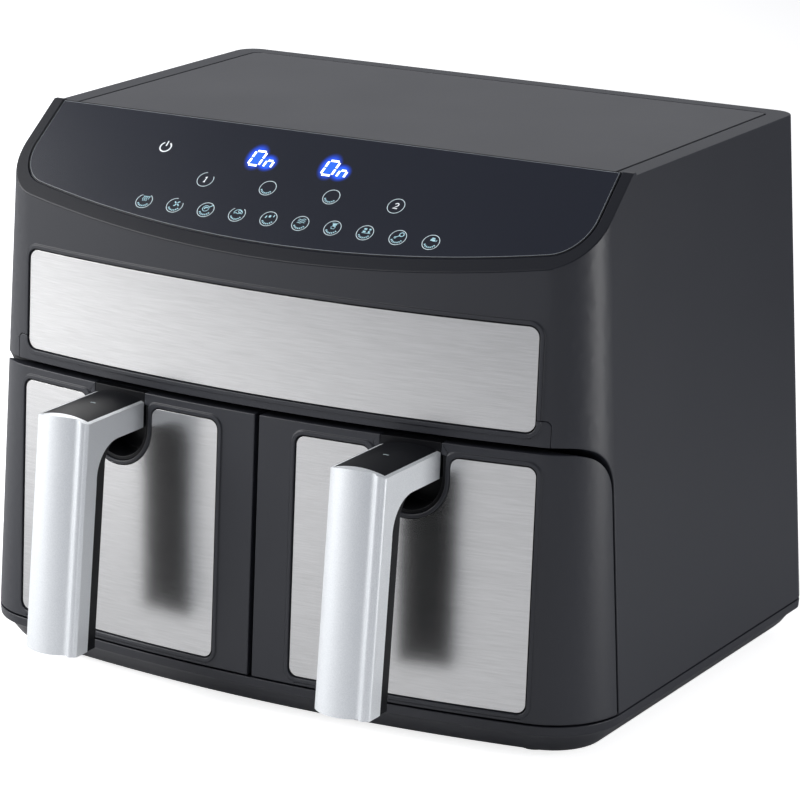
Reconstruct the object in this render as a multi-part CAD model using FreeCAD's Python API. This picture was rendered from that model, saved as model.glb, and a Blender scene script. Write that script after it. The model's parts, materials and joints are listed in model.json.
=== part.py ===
"""Two-drawer air fryer: housing, control panel, two drawers with pans, two hot-air units.

Frame: millimetres, +Z up, +X to the right of someone facing the front, the front towards -Y.
The origin is on the table, at the middle of the whole object's width and depth.
Heights called "level" are counted from the seam between the base tray and the housing.
"""
import FreeCAD, Part
import math
import os

from FreeCAD import Placement, Rotation, Vector

os.makedirs("parts", exist_ok=True)

# ---------------------------------------------------------------- driving dimensions
# Body: the moulded housing on its base tray, sizes taken at the seam
BODY_WIDTH = 388.0
BODY_DEPTH = 283.5
HOUSING_HEIGHT = 278.5
SIDE_DRAFT = 0.05            # how far each side leans in, per mm of height
FRONT_LEAN = 0.058           # how far the front leans back, per mm of height
BACK_LEAN = 0.021
FRONT_BOW_RADIUS = 882.0     # the front is a shallow bow
FRONT_CORNER_RADIUS = 40.5
BACK_CORNER_RADIUS = 12.0
WALL = 3.0
SEAM_GAP = 0.8               # shadow gap between the tray and what stands on it
PART_GAP = 0.3               # clearance of one inset piece in another
SLIDE_GAP = 0.5              # clearance beside a sliding piece
PIN_CLEARANCE = 0.05         # radial, shaft in its bore
SCREW_CLEARANCE = 0.15       # radial, screw in its hole

# Base tray and feet
LIP_HEIGHT = 5.0
BELLY_DEPTH = 18.5
BELLY_INSET = 16.5
BELLY_SECTIONS = 6
LIP_DRAFT = 0.6
RIB_INSET = 7.0              # ribs under the chambers, in from their edges
LANDING_INSET = 1.2          # raised ring that the housing stands on
TRAY_WALL = 2.5
FOOT_RADIUS = 9.0
FOOT_STAND = 2.5             # how far the feet reach below the belly
FOOT_PEG_RADIUS = 3.0
FOOT_ROUND = 1.0
FOOT_FROM_SIDE = 43.0
FOOT_FROM_FRONT = 42.0
FOOT_FROM_BACK = 48.0

# Slanted control panel
PANEL_LEVEL = 226.2          # where the slope starts, at the middle of the front
PANEL_ANGLE = 38.3
PANEL_LENGTH = 86.8          # up the slope
BEZEL_BAND = 7.0
GLASS_THICKNESS = 3.0
PANEL_LIP_DEPTH = 3.0
BOARD_DROP = 10.0            # from the panel's face down to the control board
BOARD_THICKNESS = 1.6
BOARD_WIDTH = 250.0
BOARD_START = 17.0           # up the slope
BOARD_LENGTH = 60.0
BOARD_POST_INSET = 2.0
BOARD_POST_RADIUS = 1.8
WINDOW_MARGIN = 4.0          # board rim that lies under the panel's wall
KEY_PITCH = 19.65
KEY_COUNT = 10
KEY_ROW = 25.8               # up the slope: the ten program keys
ZONE_ROW = 44.9              # and the four keys above them
POWER_KEY = (-93.4, 63.5)
DISPLAY_ROW = 64.0
DISPLAY_OFFSET = 23.0
DISPLAY_WIDTH = 34.0
DISPLAY_HEIGHT = 15.0
KEY_SPRING_RADIUS = 3.0

# Top plate
PLATE_MARGIN = 12.4          # rim left at the sides
PLATE_MARGIN_BACK = 10.7
PLATE_CORNER = 4.0
PLATE_THICKNESS = 2.5
PLATE_GAP = 1.0

# Steel trim over the drawers
STRIP_LOW = 153.4
STRIP_HIGH = 208.9
STRIP_HALF_WIDTH = 157.8
STEEL_THICKNESS = 0.8
STEEL_CORNER = 5.5
BEAD_WIDTH = 2.6
BEAD_PROUD = 0.8
TRIM_HALF_WIDTH = 165.4
TRIM_TOP = 160.5
TRIM_DEPTH = 4.0

# Drawer opening
DRAWER_TOP = 143.2
DRAWER_BOTTOM = 1.0
TOP_GAP = 3.6
DRAWER_REAR = 51.3           # from the front middle back to the drawer front's rear edge
REAR_GAP = 1.6
WRAP_RADIUS = 23.4           # the drawer front's top rear corner, seen from the side
MIDDLE_GAP = 2.7
FRAME_WALL = 3.0

# Steel inlay of each drawer front
INLAY_LOW = 5.5
INLAY_HIGH = 136.4
INLAY_INNER = 24.2
INLAY_OUTER = 159.5
INLAY_CORNER = 5.0

# Drawer front's screws, and the magnet that tells the reed switch it is shut
PLATE_SCREW_LEVELS = (14.0, 104.0)
PAN_SCREW_LEVEL = 100.0
PAN_SCREW_OFFSET = 40.0
SCREW_POST_RADIUS = 4.0
MAGNET_LOW = 60.0
MAGNET_HIGH = 72.0
MAGNET_WIDTH = 4.0
MAGNET_DEPTH = 5.0

# Handle
HANDLE_WIDTH = 34.0
ARM_LOW = 124.3
ARM_SIDE_HIGH = 138.0
ARM_CROWN = 2.8
HANDLE_X = 90.5
HANDLE_REACH = 43.7          # from the front middle forward to the grip's crown, at the arm's top
GRIP_LEAN = 0.118            # the grip leans out, per mm downwards
GRIP_BOTTOM = 13.5
GRIP_REAR_REACH = 26.0       # forward to the liner's rear face, at ARM_INNER_LEVEL
GRIP_SHELL_REACH = 33.3      # forward to the painted shell's rear edge there
ARM_INNER_LEVEL = 104.5
CROWN_LEFT_FALL = 6.4        # the grip's front falls back from its crown to its left edge
FLUTE_FALL = 3.0             # to the flute near its right edge
BAND_FALL = 2.0              # and to the band between the flute and the right edge
FLUTE_OFFSET = 10.0          # flute, right of the grip's middle
FLUTE_HALF_WIDTH = 1.4
FLUTE_DEPTH = 0.4
BAND_CORNER = 2.0
ARM_INNER_RADIUS = 20.0
LINER_INNER_RADIUS = 13.0
HANDLE_WALL = 2.4
CAP_MARGIN = 2.0             # painted edge left at the cap's sides
CAP_MARGIN_FRONT = 6.0       # and in front of it, counted from the crown
CAP_THICKNESS = 1.6
NOTCH_RADIUS = 22.7
NOTCH_LEVEL = 123.7
SOCKET_DEPTH = 20.0
SOCKET_RIM = 2.6
SOCKET_WALL = 2.0
SOCKET_SUNK = 0.5            # its edge, behind the drawer's surface
ROOT_DEPTH = 5.0             # the root block, behind the drawer's surface
ROOT_TENON_WIDTH = 26.0      # its tenon, which reaches the socket's floor

# Pan and crisper plate
PAN_SIDE_ROOM = 6.25          # beside the pan in its chamber
PAN_LOW = 5.0
PAN_HIGH = 128.0
PAN_BACK_ROOM = 8.7           # behind it
PAN_WALL = 1.5
PAN_CORNER = 18.0
PAN_RIM = 3.0
RAIL_HEIGHT = 5.0
CRISPER_LIFT = 15.0          # plate's underside over the pan's floor
CRISPER_THICKNESS = 1.5
CRISPER_MARGIN = 3.0
CRISPER_SKIRT = 6.0
CRISPER_HOLE_RADIUS = 4.0
GRID_MARGIN = 20.0           # both edges together, round a pattern of holes
CRISPER_HOLE_PITCH = 15.5
FINGER_HOLE_RADIUS = 10.0
BUMPER_RADIUS = 6.0
BUMPER_INSET = 16.0

# Cooking chamber
CHAMBER_SIDE_ROOM = 18.5     # from the chamber out to the body's side at the seam
CHAMBER_MIDDLE_ROOM = 9.0    # half the space between the chambers
CHAMBER_BACK_ROOM = 26.5
LINER_LOW = 3.0
LINER_HIGH = 187.0
LINER_WALL = 1.0
WINDOW_TOP = 137.0
DIVIDER_THICKNESS = 3.0
GUARD_LEVEL = 139.5
GUARD_THICKNESS = 1.0
GUARD_HOLE_RADIUS = 5.0
GUARD_HOLE_PITCH = 15.0
HEATER_LEVEL = 150.0
HEATER_TUBE_RADIUS = 3.25
HEATER_SIDE_ROOM = 15.25     # from the outer ring to the chamber's side
HEATER_RING_STEP = 20.0      # between the two rings
HEATER_BEND_ANGLE = 25.0
HEATER_OUTER_END = 325.0
HEATER_INNER_END = 340.0
HEATER_STUB = 9.0            # tube ends above the chamber's roof
HEATER_FLANGE = 2.0
FAN_LEVEL = 162.0
FAN_TIP_ROOM = 10.0          # inside the heater's outer ring
FAN_HEIGHT = 13.0
FAN_BLADES = 12
FAN_HUB_RADIUS = 9.0
FAN_SHEET = 1.2
SHAFT_RADIUS = 3.0
MOTOR_RADIUS = 28.0
MOTOR_HEIGHT = 34.0
MOTOR_STAND = 6.0
BRACKET_RADIUS = 38.0
BRACKET_THICKNESS = 1.5
BRACKET_LEG_RADIUS = 4.0
BRACKET_LEG_CIRCLE = 32.0
MOTOR_BOSS_RADIUS = 8.0
MOTOR_SCREW_CIRCLE = 20.0
SHAFT_STUB = 3.0
COOLER_RADIUS = 38.0
COOLER_HEIGHT = 10.0
COOLER_BLADES = 7
COOLER_SWEEP = 25.0
COOLER_GAP = 4.0
CUTOUT_INSET = 30.0          # thermal cut-out, in from the chamber's back
CUTOUT_HEIGHT = 6.0
CUTOUT_RADIUS = 8.0
DUCT_WIDTH = 60.0
DUCT_LOW = 150.0
DUCT_HIGH = 180.0
DUCT_WALL = 1.2

# Power board: half width, front, back; blocks as x, x, front, back, height
POWER_BOARD = (44.0, 108.0, 204.0)
POWER_LEVEL = 205.0
POWER_LEG_INSET = 6.0         # from the board's front and back edges
POWER_LEG_X = 15.0
POWER_LEG_RADIUS = 3.0
POWER_BLOCKS = [
    (-36.0, -17.0, 120.0, 136.0, 15.0),    # relay of the left unit
    (-36.0, -17.0, 142.0, 158.0, 15.0),    # relay of the right unit
    (4.0, 34.0, 118.0, 146.0, 24.0),       # transformer
    (-34.0, 34.0, 184.0, 196.0, 12.0),     # terminal row
]
POWER_CAPACITOR = (18.0, 166.0, 9.0, 26.0)

# Back of the housing
COVER_HALF_WIDTH = 166.0
COVER_LOW = 8.0
COVER_HIGH = 262.0
COVER_THICKNESS = 2.5
COVER_OVERLAP = 8.0
COVER_SCREW_INSET = 4.0
HOOD_WIDTH = 78.0
HOOD_LOW = 142.0
HOOD_HIGH = 192.0
HOOD_DEPTH = 9.0
HOOD_SLOTS = 5
HOOD_WALL = 2.0
SLOT_HEIGHT = 4.5
VENT_SLOTS = 6
VENT_WIDTH = 120.0
VENT_LEVEL = 206.0
VENT_PITCH = 8.1
GLAND_X = 128.0
GLAND_LEVEL = 40.0
GLAND_RADIUS = 7.0
GLAND_BORE_RADIUS = 3.6
GLAND_FLANGE = 3.0
GLAND_FLANGE_RADIUS = 10.0

# Posts for the tray's screws
POST_RADIUS = 5.5
POST_HEIGHT = 30.0
REAR_POST_X = 172.0
REAR_POST_DEPTH = 264.0
SCREW_SEAT = -3.0            # level that the tray screws' heads bear on

# Screws: one size throughout
SCREW_RADIUS = 1.5
SCREW_HEAD_RADIUS = 3.4
SCREW_HEAD_HEIGHT = 2.0
SCREW_LENGTH = 8.0

# ---------------------------------------------------------------- places that follow
LINER_HALF_WIDTH = (BODY_WIDTH / 2 - CHAMBER_SIDE_ROOM - CHAMBER_MIDDLE_ROOM) / 2
LINER_BACK = BODY_DEPTH - CHAMBER_BACK_ROOM
PAN_CENTRE = CHAMBER_MIDDLE_ROOM + LINER_HALF_WIDTH
PAN_WIDTH = 2 * (LINER_HALF_WIDTH - PAN_SIDE_ROOM)
PAN_LENGTH = LINER_BACK - DRAWER_REAR - PAN_BACK_ROOM
HEATER_OUTER_RADIUS = LINER_HALF_WIDTH - HEATER_SIDE_ROOM
HEATER_INNER_RADIUS = HEATER_OUTER_RADIUS - HEATER_RING_STEP
FAN_RADIUS = HEATER_OUTER_RADIUS - FAN_TIP_ROOM
SEAM = BELLY_DEPTH + FOOT_STAND
CORNER_AXIS = BODY_WIDTH / 2 - FRONT_CORNER_RADIUS
ANGLE = math.radians(PANEL_ANGLE)
UP_SLOPE = Vector(0, math.cos(ANGLE), math.sin(ANGLE))
BACK_TURN = Rotation(Vector(1, 0, 0), math.degrees(math.atan(BACK_LEAN)))
OUT_OF_BACK = BACK_TURN.multVec(Vector(0, 1, 0))
OUT_OF_PANEL = Vector(0, -math.sin(ANGLE), math.cos(ANGLE))
OPENING_TOP = DRAWER_TOP + TOP_GAP
OPENING_REAR = DRAWER_REAR + REAR_GAP
OPENING_RADIUS = WRAP_RADIUS + REAR_GAP
LINER_FRONT = OPENING_REAR + FRAME_WALL
LINER_INNER = PAN_CENTRE - LINER_HALF_WIDTH
PANEL_DEPTH = FRONT_LEAN * PANEL_LEVEL
PANEL_TOP_DEPTH = PANEL_DEPTH + PANEL_LENGTH * math.cos(ANGLE)
PANEL_WALL = GLASS_THICKNESS + WALL
FAN_DEPTH = (LINER_FRONT + LINER_BACK) / 2
MOTOR_LOW = LINER_HIGH + MOTOR_STAND + BRACKET_THICKNESS
COOLER_LOW = MOTOR_LOW + MOTOR_HEIGHT + COOLER_GAP
DECK = HOUSING_HEIGHT - PLATE_THICKNESS
FORM_TOP = PANEL_LEVEL + PANEL_LENGTH * math.sin(ANGLE)
OBJECT_FRONT = -(HANDLE_REACH + GRIP_LEAN * (ARM_SIDE_HIGH - GRIP_BOTTOM))
OBJECT_BACK = BODY_DEPTH - BACK_LEAN * HOOD_LOW + COVER_THICKNESS + HOOD_DEPTH
FRONT_Y = -(OBJECT_FRONT + OBJECT_BACK) / 2    # the front middle at the seam
BIG = 1000.0
TINY = 1e-6
SIDES = {"left": -1, "right": 1}


def at(x, depth, level):
    """A point given across, back from the front middle, and up from the seam."""
    return Vector(x, FRONT_Y + depth, SEAM + level)


def box(x0, x1, depth0, depth1, level0, level1):
    """A box between two values each way, in the same terms as at()."""
    return Part.makeBox(x1 - x0, depth1 - depth0, level1 - level0, at(x0, depth0, level0))


def post(x, depth, level0, level1, radius):
    """An upright cylinder."""
    return Part.makeCylinder(radius, level1 - level0, at(x, depth, level0))


def arc(start, middle, end):
    return Part.Arc(start, middle, end).toShape()


def line(start, end):
    return Part.LineSegment(start, end).toShape()


def solid_of(wire, direction):
    return Part.Face(wire).extrude(direction)


def fused(shapes):
    """All the shapes as one solid, coplanar faces joined."""
    shapes = list(shapes)
    whole = shapes[0]
    if len(shapes) > 1:
        whole = whole.fuse(shapes[1:])
    return whole.removeSplitter()


def group(shapes):
    """Separate solids that share a node."""
    return Part.makeCompound([solid for shape in shapes for solid in shape.Solids])


def on_side(shape, side):
    """A piece modelled on the right, put on the side asked for."""
    return shape if side > 0 else shape.mirror(Vector(), Vector(1, 0, 0))


def moved(shape, across):
    copy = shape.copy()
    copy.translate(Vector(across, 0, 0))
    return copy


# ---------------------------------------------------------------- body surfaces
def front_depth(x, level):
    """How far back the front surface lies at that place."""
    bow = FRONT_BOW_RADIUS - math.sqrt(FRONT_BOW_RADIUS ** 2 - x ** 2)
    return bow + FRONT_LEAN * level


def half_width(level, inset=0.0):
    return BODY_WIDTH / 2 - SIDE_DRAFT * level - inset


def outline(level, inset=0.0):
    """The body's outline at a level: bowed front, two corners, sides, back."""
    side = half_width(level, inset)
    corner = half_width(level) - CORNER_AXIS
    bow_centre = FRONT_LEAN * level + FRONT_BOW_RADIUS
    reach = FRONT_BOW_RADIUS - corner
    corner_depth = bow_centre - math.sqrt(reach ** 2 - CORNER_AXIS ** 2)
    tangent = Vector(CORNER_AXIS / reach, (corner_depth - bow_centre) / reach, 0)
    bisector = (tangent + Vector(1, 0, 0)).normalize()
    radius = corner - inset
    back = BODY_DEPTH - BACK_LEAN * level
    back_radius = max(BACK_CORNER_RADIUS - inset, 1.0)
    back_centre = Vector(side - back_radius, back - inset - back_radius, 0)
    diagonal = Vector(1, 1, 0).normalize()
    bow_end = Vector(0, bow_centre, 0) + tangent * (FRONT_BOW_RADIUS - inset)
    corner_centre = Vector(CORNER_AXIS, corner_depth, 0)
    right = [
        bow_end,
        corner_centre + bisector * radius,
        Vector(side, corner_depth, 0),
        Vector(side, back_centre.y, 0),
        back_centre + diagonal * back_radius,
        Vector(back_centre.x, back - inset, 0),
    ]
    place = Vector(0, FRONT_Y, SEAM + level)
    right = [point + place for point in right]
    left = [Vector(-point.x, point.y, point.z) for point in right]
    middle = Vector(0, bow_centre - FRONT_BOW_RADIUS + inset, 0) + place
    return Part.Wire([
        arc(left[0], middle, right[0]),
        arc(right[0], right[1], right[2]),
        line(right[2], right[3]),
        arc(right[3], right[4], right[5]),
        line(right[5], left[5]),
        arc(left[5], left[4], left[3]),
        line(left[3], left[2]),
        arc(left[2], left[1], left[0]),
    ])


def body_solid(low, high, inset=0.0):
    """The body's form between two levels, `inset` inside its outer surface."""
    whole = Part.makeLoft([outline(0, inset), outline(FORM_TOP, inset)], True, True)
    return whole.common(box(-BIG, BIG, -BIG, BIG, low, high))


def behind_front(depth):
    """All that lies deeper than `depth` behind the bowed front surface."""
    half = BODY_WIDTH
    edge = front_depth(half, -SEAM) + depth
    start, end = at(-half, edge, -SEAM), at(half, edge, -SEAM)
    back_right, back_left = at(half, BODY_DEPTH, -SEAM), at(-half, BODY_DEPTH, -SEAM)
    wire = Part.Wire([
        arc(start, at(0, front_depth(0, -SEAM) + depth, -SEAM), end),
        line(end, back_right), line(back_right, back_left), line(back_left, start)])
    height = HOUSING_HEIGHT + SEAM
    return solid_of(wire, Vector(0, FRONT_LEAN * height, height))


def front_layer(near, far):
    """A layer that follows the bowed front, from `near` to `far` behind it."""
    return behind_front(near).cut(behind_front(far))


def rounded_prism(corners, radius):
    """An outline of (x, level) corners, rounded, run from well in front to well behind."""
    points = [at(x, -BIG / 2, level) for x, level in corners]
    ends = []
    for i, point in enumerate(points):
        before = (points[i - 1] - point).normalize()
        after = (points[(i + 1) % len(points)] - point).normalize()
        half = before.getAngle(after) / 2
        middle = (before + after).normalize() * (radius / math.sin(half) - radius)
        reach = radius / math.tan(half)
        ends.append((point + before * reach, point + middle, point + after * reach))
    edges = []
    for i, (start, middle, end) in enumerate(ends):
        edges.append(arc(start, middle, end))
        edges.append(line(end, ends[(i + 1) % len(ends)][0]))
    return solid_of(Part.Wire(edges), Vector(0, BIG, 0))


def rect_prism(x0, x1, low, high, radius):
    return rounded_prism([(x0, low), (x1, low), (x1, high), (x0, high)], radius)


def back_box(x0, x1, level0, level1, out0, out1):
    """A box square to the leaning back wall."""
    block = Part.makeBox(x1 - x0, out1 - out0, level1 - level0)
    block.Placement = Placement(back_point(x0, level0, out0), BACK_TURN)
    return block


def back_point(x, level, out):
    """A point on the leaning back wall; `out` is counted outwards from its surface."""
    return at(0, BODY_DEPTH, 0) + BACK_TURN.multVec(Vector(x, out, level))


def opening_prism(rear, top, radius):
    """The drawers' space seen from the side: all in front of `rear` and under `top`."""
    x, low, front = -BODY_WIDTH, -SEAM, -BIG / 2
    turn = radius * (1 - math.sqrt(0.5))
    corners = [at(x, front, low), at(x, rear, low), at(x, rear, top - radius)]
    bend = arc(corners[2], at(x, rear - turn, top - turn), at(x, rear - radius, top))
    front_top = at(x, front, top)
    wire = Part.Wire([
        line(corners[0], corners[1]), line(corners[1], corners[2]), bend,
        line(at(x, rear - radius, top), front_top), line(front_top, corners[0])])
    return solid_of(wire, Vector(2 * BODY_WIDTH, 0, 0))


def on_panel(x, up, out):
    """A point on the slanted panel: across, up the slope, out of its face."""
    return at(x, front_depth(0, PANEL_LEVEL), PANEL_LEVEL) + UP_SLOPE * up + OUT_OF_PANEL * out


def panel_box(x0, x1, up0, up1, out0, out1):
    """A box square to the slanted panel."""
    block = Part.makeBox(x1 - x0, up1 - up0, out1 - out0)
    block.Placement = Placement(on_panel(x0, up0, out0), Rotation(Vector(1, 0, 0), PANEL_ANGLE))
    return block


def panel_post(x, up, out0, out1, radius):
    return Part.makeCylinder(radius, out1 - out0, on_panel(x, up, out0), OUT_OF_PANEL)


def screw(tip, direction):
    """A pan-head screw; `tip` is the end of its shank, `direction` points to its head."""
    shank = Part.makeCylinder(SCREW_RADIUS, SCREW_LENGTH, tip, direction)
    head = Part.makeCylinder(SCREW_HEAD_RADIUS, SCREW_HEAD_HEIGHT, tip + direction * SCREW_LENGTH, direction)
    recess = Part.makeCylinder(SCREW_RADIUS * 0.8, SCREW_HEAD_HEIGHT,
                               tip + direction * (SCREW_LENGTH + SCREW_HEAD_HEIGHT / 2), direction)
    return shank.fuse(head).cut(recess)


def screw_hole(tip, direction, length):
    return Part.makeCylinder(SCREW_RADIUS + SCREW_CLEARANCE, length, tip, direction)


# ---------------------------------------------------------------- housing
TRAY_SCREWS = [(0.0, LINER_FRONT + POST_RADIUS - 1)] + [(s * REAR_POST_X, REAR_POST_DEPTH) for s in (-1, 1)]
COVER_SCREWS = [(x, level) for x in (-1, -0.3, 0.3, 1)
                for level in (COVER_LOW + COVER_SCREW_INSET, COVER_HIGH - COVER_SCREW_INSET)]


def strip_prism(grow):
    return rect_prism(-STRIP_HALF_WIDTH - grow, STRIP_HALF_WIDTH + grow,
                      STRIP_LOW - grow, STRIP_HIGH + grow, STEEL_CORNER + grow)


def trim_zone(shrink):
    """The part of the front wall that the lower trim fills."""
    low = OPENING_TOP - 2 * STEEL_CORNER
    half = TRIM_HALF_WIDTH - shrink
    prism = rect_prism(-half, half, low, TRIM_TOP - shrink, 3.0)
    return prism.common(front_layer(-2 * BEAD_PROUD, TRIM_DEPTH))


def glass_zone(grow, out0, out1, length):
    """The glass's outline on the panel, between two heights over its face."""
    form = body_solid(PANEL_LEVEL - WALL * 2, FORM_TOP, BEZEL_BAND - grow)
    return form.common(panel_box(-BIG / 4, BIG / 4, -BEZEL_BAND, length, out0, out1))


def cover_screw(x, level):
    """Tip and direction of a screw in the rear cover, `x` counted in half widths."""
    tip = back_point(x * (COVER_HALF_WIDTH - COVER_SCREW_INSET), level, COVER_THICKNESS - SCREW_LENGTH)
    return tip, OUT_OF_BACK


def upper_shell():
    """Housing walls, bezel and rim, before the openings for what it holds."""
    outer = body_solid(SEAM_GAP, FORM_TOP)
    outer = outer.cut(panel_box(-BIG / 4, BIG / 4, -BIG / 4, BIG / 4, 0, BIG))
    outer = outer.cut(box(-BIG, BIG, PANEL_TOP_DEPTH + PANEL_LIP_DEPTH, BIG, HOUSING_HEIGHT, BIG))
    inner = body_solid(0, DECK - WALL, WALL)
    inner = inner.cut(panel_box(-BIG / 4, BIG / 4, -BIG / 4, BIG / 4, -PANEL_WALL, BIG))
    opening = opening_prism(OPENING_REAR, OPENING_TOP, OPENING_RADIUS)
    wider = opening_prism(OPENING_REAR + FRAME_WALL, OPENING_TOP + FRAME_WALL, OPENING_RADIUS + FRAME_WALL)
    frame = outer.common(wider).cut(opening)
    return outer.cut(inner).cut(opening).fuse(frame)


def housing():
    """outer_shell and lower_trim, which share the steel strip's raised bead."""
    shell = upper_shell()
    bead = strip_prism(BEAD_WIDTH).cut(strip_prism(PART_GAP))
    shell = shell.fuse(bead.common(front_layer(-BEAD_PROUD, WALL / 2)))
    cuts = [strip_prism(PART_GAP).common(front_layer(-WALL, STEEL_THICKNESS))]
    window = LINER_HALF_WIDTH - LINER_WALL
    for side in SIDES.values():
        x = side * PAN_CENTRE
        cuts.append(box(x - window, x + window, DRAWER_REAR, OPENING_REAR + 2 * FRAME_WALL, -1, WINDOW_TOP))
    cuts.append(glass_zone(PART_GAP, -GLASS_THICKNESS, BIG / 4, PANEL_LENGTH + 4 * GLASS_THICKNESS))
    half = half_width(HOUSING_HEIGHT) - PLATE_MARGIN
    back = BODY_DEPTH - BACK_LEAN * HOUSING_HEIGHT - PLATE_MARGIN_BACK
    glass_foot = PANEL_TOP_DEPTH + GLASS_THICKNESS * math.sin(ANGLE)
    recess = box(-half, half, glass_foot, back, DECK, HOUSING_HEIGHT + WALL)
    cuts.append(round_rear_corners(recess, PLATE_CORNER + PLATE_GAP))
    board = BOARD_WIDTH / 2 - WINDOW_MARGIN
    cuts.append(panel_box(-board, board, BOARD_START + WINDOW_MARGIN,
                          BOARD_START + BOARD_LENGTH - WINDOW_MARGIN, -PANEL_WALL - 1, 0))
    inner_half = COVER_HALF_WIDTH - COVER_OVERLAP
    cuts.append(back_box(-inner_half, inner_half, COVER_LOW + COVER_OVERLAP, COVER_HIGH - COVER_OVERLAP,
                         -2 * WALL, WALL))
    for x, level in COVER_SCREWS:
        cuts.append(screw_hole(*cover_screw(x, level), SCREW_LENGTH * 2))
    shell = shell.cut(cuts)
    posts = []
    for x, depth in TRAY_SCREWS:
        boss = post(x, depth, SEAM_GAP, POST_HEIGHT, POST_RADIUS)
        if x:
            boss = boss.fuse(box(x - WALL / 2, x + WALL / 2, depth, BODY_DEPTH, SEAM_GAP, POST_HEIGHT))
        hole = post(x, depth, 0, POST_HEIGHT - WALL, SCREW_RADIUS + SCREW_CLEARANCE)
        posts.append(boss.common(body_solid(0, FORM_TOP, WALL / 2)).cut(hole))
    for x in (-1, 1):
        for up in (BOARD_START + BOARD_POST_INSET, BOARD_START + BOARD_LENGTH - BOARD_POST_INSET):
            posts.append(panel_post(x * (BOARD_WIDTH / 2 - BOARD_POST_INSET), up,
                                    -BOARD_DROP, -PANEL_WALL + 1, BOARD_POST_RADIUS))
    shell = shell.fuse(posts)
    trim = shell.common(trim_zone(PART_GAP / 2))
    return {"outer_shell": shell.cut(trim_zone(0)), "lower_trim": trim}


def upright_edges(block):
    return [e for e in block.Edges if e.BoundBox.XLength < TINY and e.BoundBox.YLength < TINY]


def round_rear_corners(block, radius):
    """Rounds the two upright edges at a box's rear."""
    back = block.BoundBox.YMax
    return block.makeFillet(radius, [e for e in upright_edges(block) if abs(e.BoundBox.YMax - back) < TINY])


def top_plate():
    half = half_width(HOUSING_HEIGHT) - PLATE_MARGIN - PLATE_GAP
    back = BODY_DEPTH - BACK_LEAN * HOUSING_HEIGHT - PLATE_MARGIN_BACK - PLATE_GAP
    front = PANEL_TOP_DEPTH + GLASS_THICKNESS * math.sin(ANGLE) + PLATE_GAP
    return round_rear_corners(box(-half, half, front, back, DECK, HOUSING_HEIGHT), PLATE_CORNER)


def hood_span(side):
    """Where one exhaust hood starts and ends across the back."""
    return side * PAN_CENTRE - HOOD_WIDTH / 2, side * PAN_CENTRE + HOOD_WIDTH / 2


def rear_cover():
    """Back panel with openings for the hoods, a row of cooling slots and the cord's hole."""
    cover = back_box(-COVER_HALF_WIDTH, COVER_HALF_WIDTH, COVER_LOW, COVER_HIGH, 0, COVER_THICKNESS)
    cuts = []
    for side in SIDES.values():
        x0, x1 = hood_span(side)
        cuts.append(back_box(x0 + HOOD_WALL, x1 - HOOD_WALL, HOOD_LOW + HOOD_WALL, HOOD_HIGH - HOOD_WALL,
                             -1, 2 * COVER_THICKNESS))
    for i in range(VENT_SLOTS):
        low = VENT_LEVEL + i * VENT_PITCH
        cuts.append(back_box(-VENT_WIDTH / 2, VENT_WIDTH / 2, low, low + SLOT_HEIGHT, -1, WALL))
    hole = back_point(GLAND_X, GLAND_LEVEL, -WALL)
    cuts.append(Part.makeCylinder(GLAND_RADIUS + PIN_CLEARANCE, WALL * 2, hole, OUT_OF_BACK))
    for x, level in COVER_SCREWS:
        cuts.append(screw_hole(*cover_screw(x, level), SCREW_LENGTH * 2))
    return cover.cut(cuts)


def exhaust_hoods():
    """Slotted hoods that stand on the cover, each with a spigot in the cover's opening."""
    hoods = []
    for side in SIDES.values():
        x0, x1 = hood_span(side)

        def block(inset, out0, out1):
            return back_box(x0 + inset, x1 - inset, HOOD_LOW + inset, HOOD_HIGH - inset, out0, out1)

        top = COVER_THICKNESS + HOOD_DEPTH
        hood = block(0, COVER_THICKNESS, top).fuse(block(HOOD_WALL + PART_GAP / 2, 0, top))
        cuts = [block(2 * HOOD_WALL, -1, top - HOOD_WALL)]
        step = (HOOD_HIGH - HOOD_LOW - 4 * HOOD_WALL) / HOOD_SLOTS
        for i in range(HOOD_SLOTS):
            low = HOOD_LOW + 2 * HOOD_WALL + (i + 0.5) * step - SLOT_HEIGHT / 2
            cuts.append(back_box(x0 + 3 * HOOD_WALL, x1 - 3 * HOOD_WALL, low, low + SLOT_HEIGHT,
                                 0, BIG / 4))
        hoods.append(hood.cut(cuts))
    return group(hoods)


def cord_gland():
    """Bushing where the mains cord enters, held by a flange outside and a nut inside."""
    def disc(radius, out, length):
        return Part.makeCylinder(radius, length, back_point(GLAND_X, GLAND_LEVEL, out), OUT_OF_BACK)

    barrel = disc(GLAND_RADIUS, -2 * GLAND_FLANGE, COVER_THICKNESS + 3 * GLAND_FLANGE)
    nut = disc(GLAND_FLANGE_RADIUS, -GLAND_FLANGE, GLAND_FLANGE)
    flange = disc(GLAND_FLANGE_RADIUS, COVER_THICKNESS, GLAND_FLANGE)
    return barrel.fuse([nut, flange]).cut(disc(GLAND_BORE_RADIUS, -BIG / 10, BIG / 5))


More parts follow.
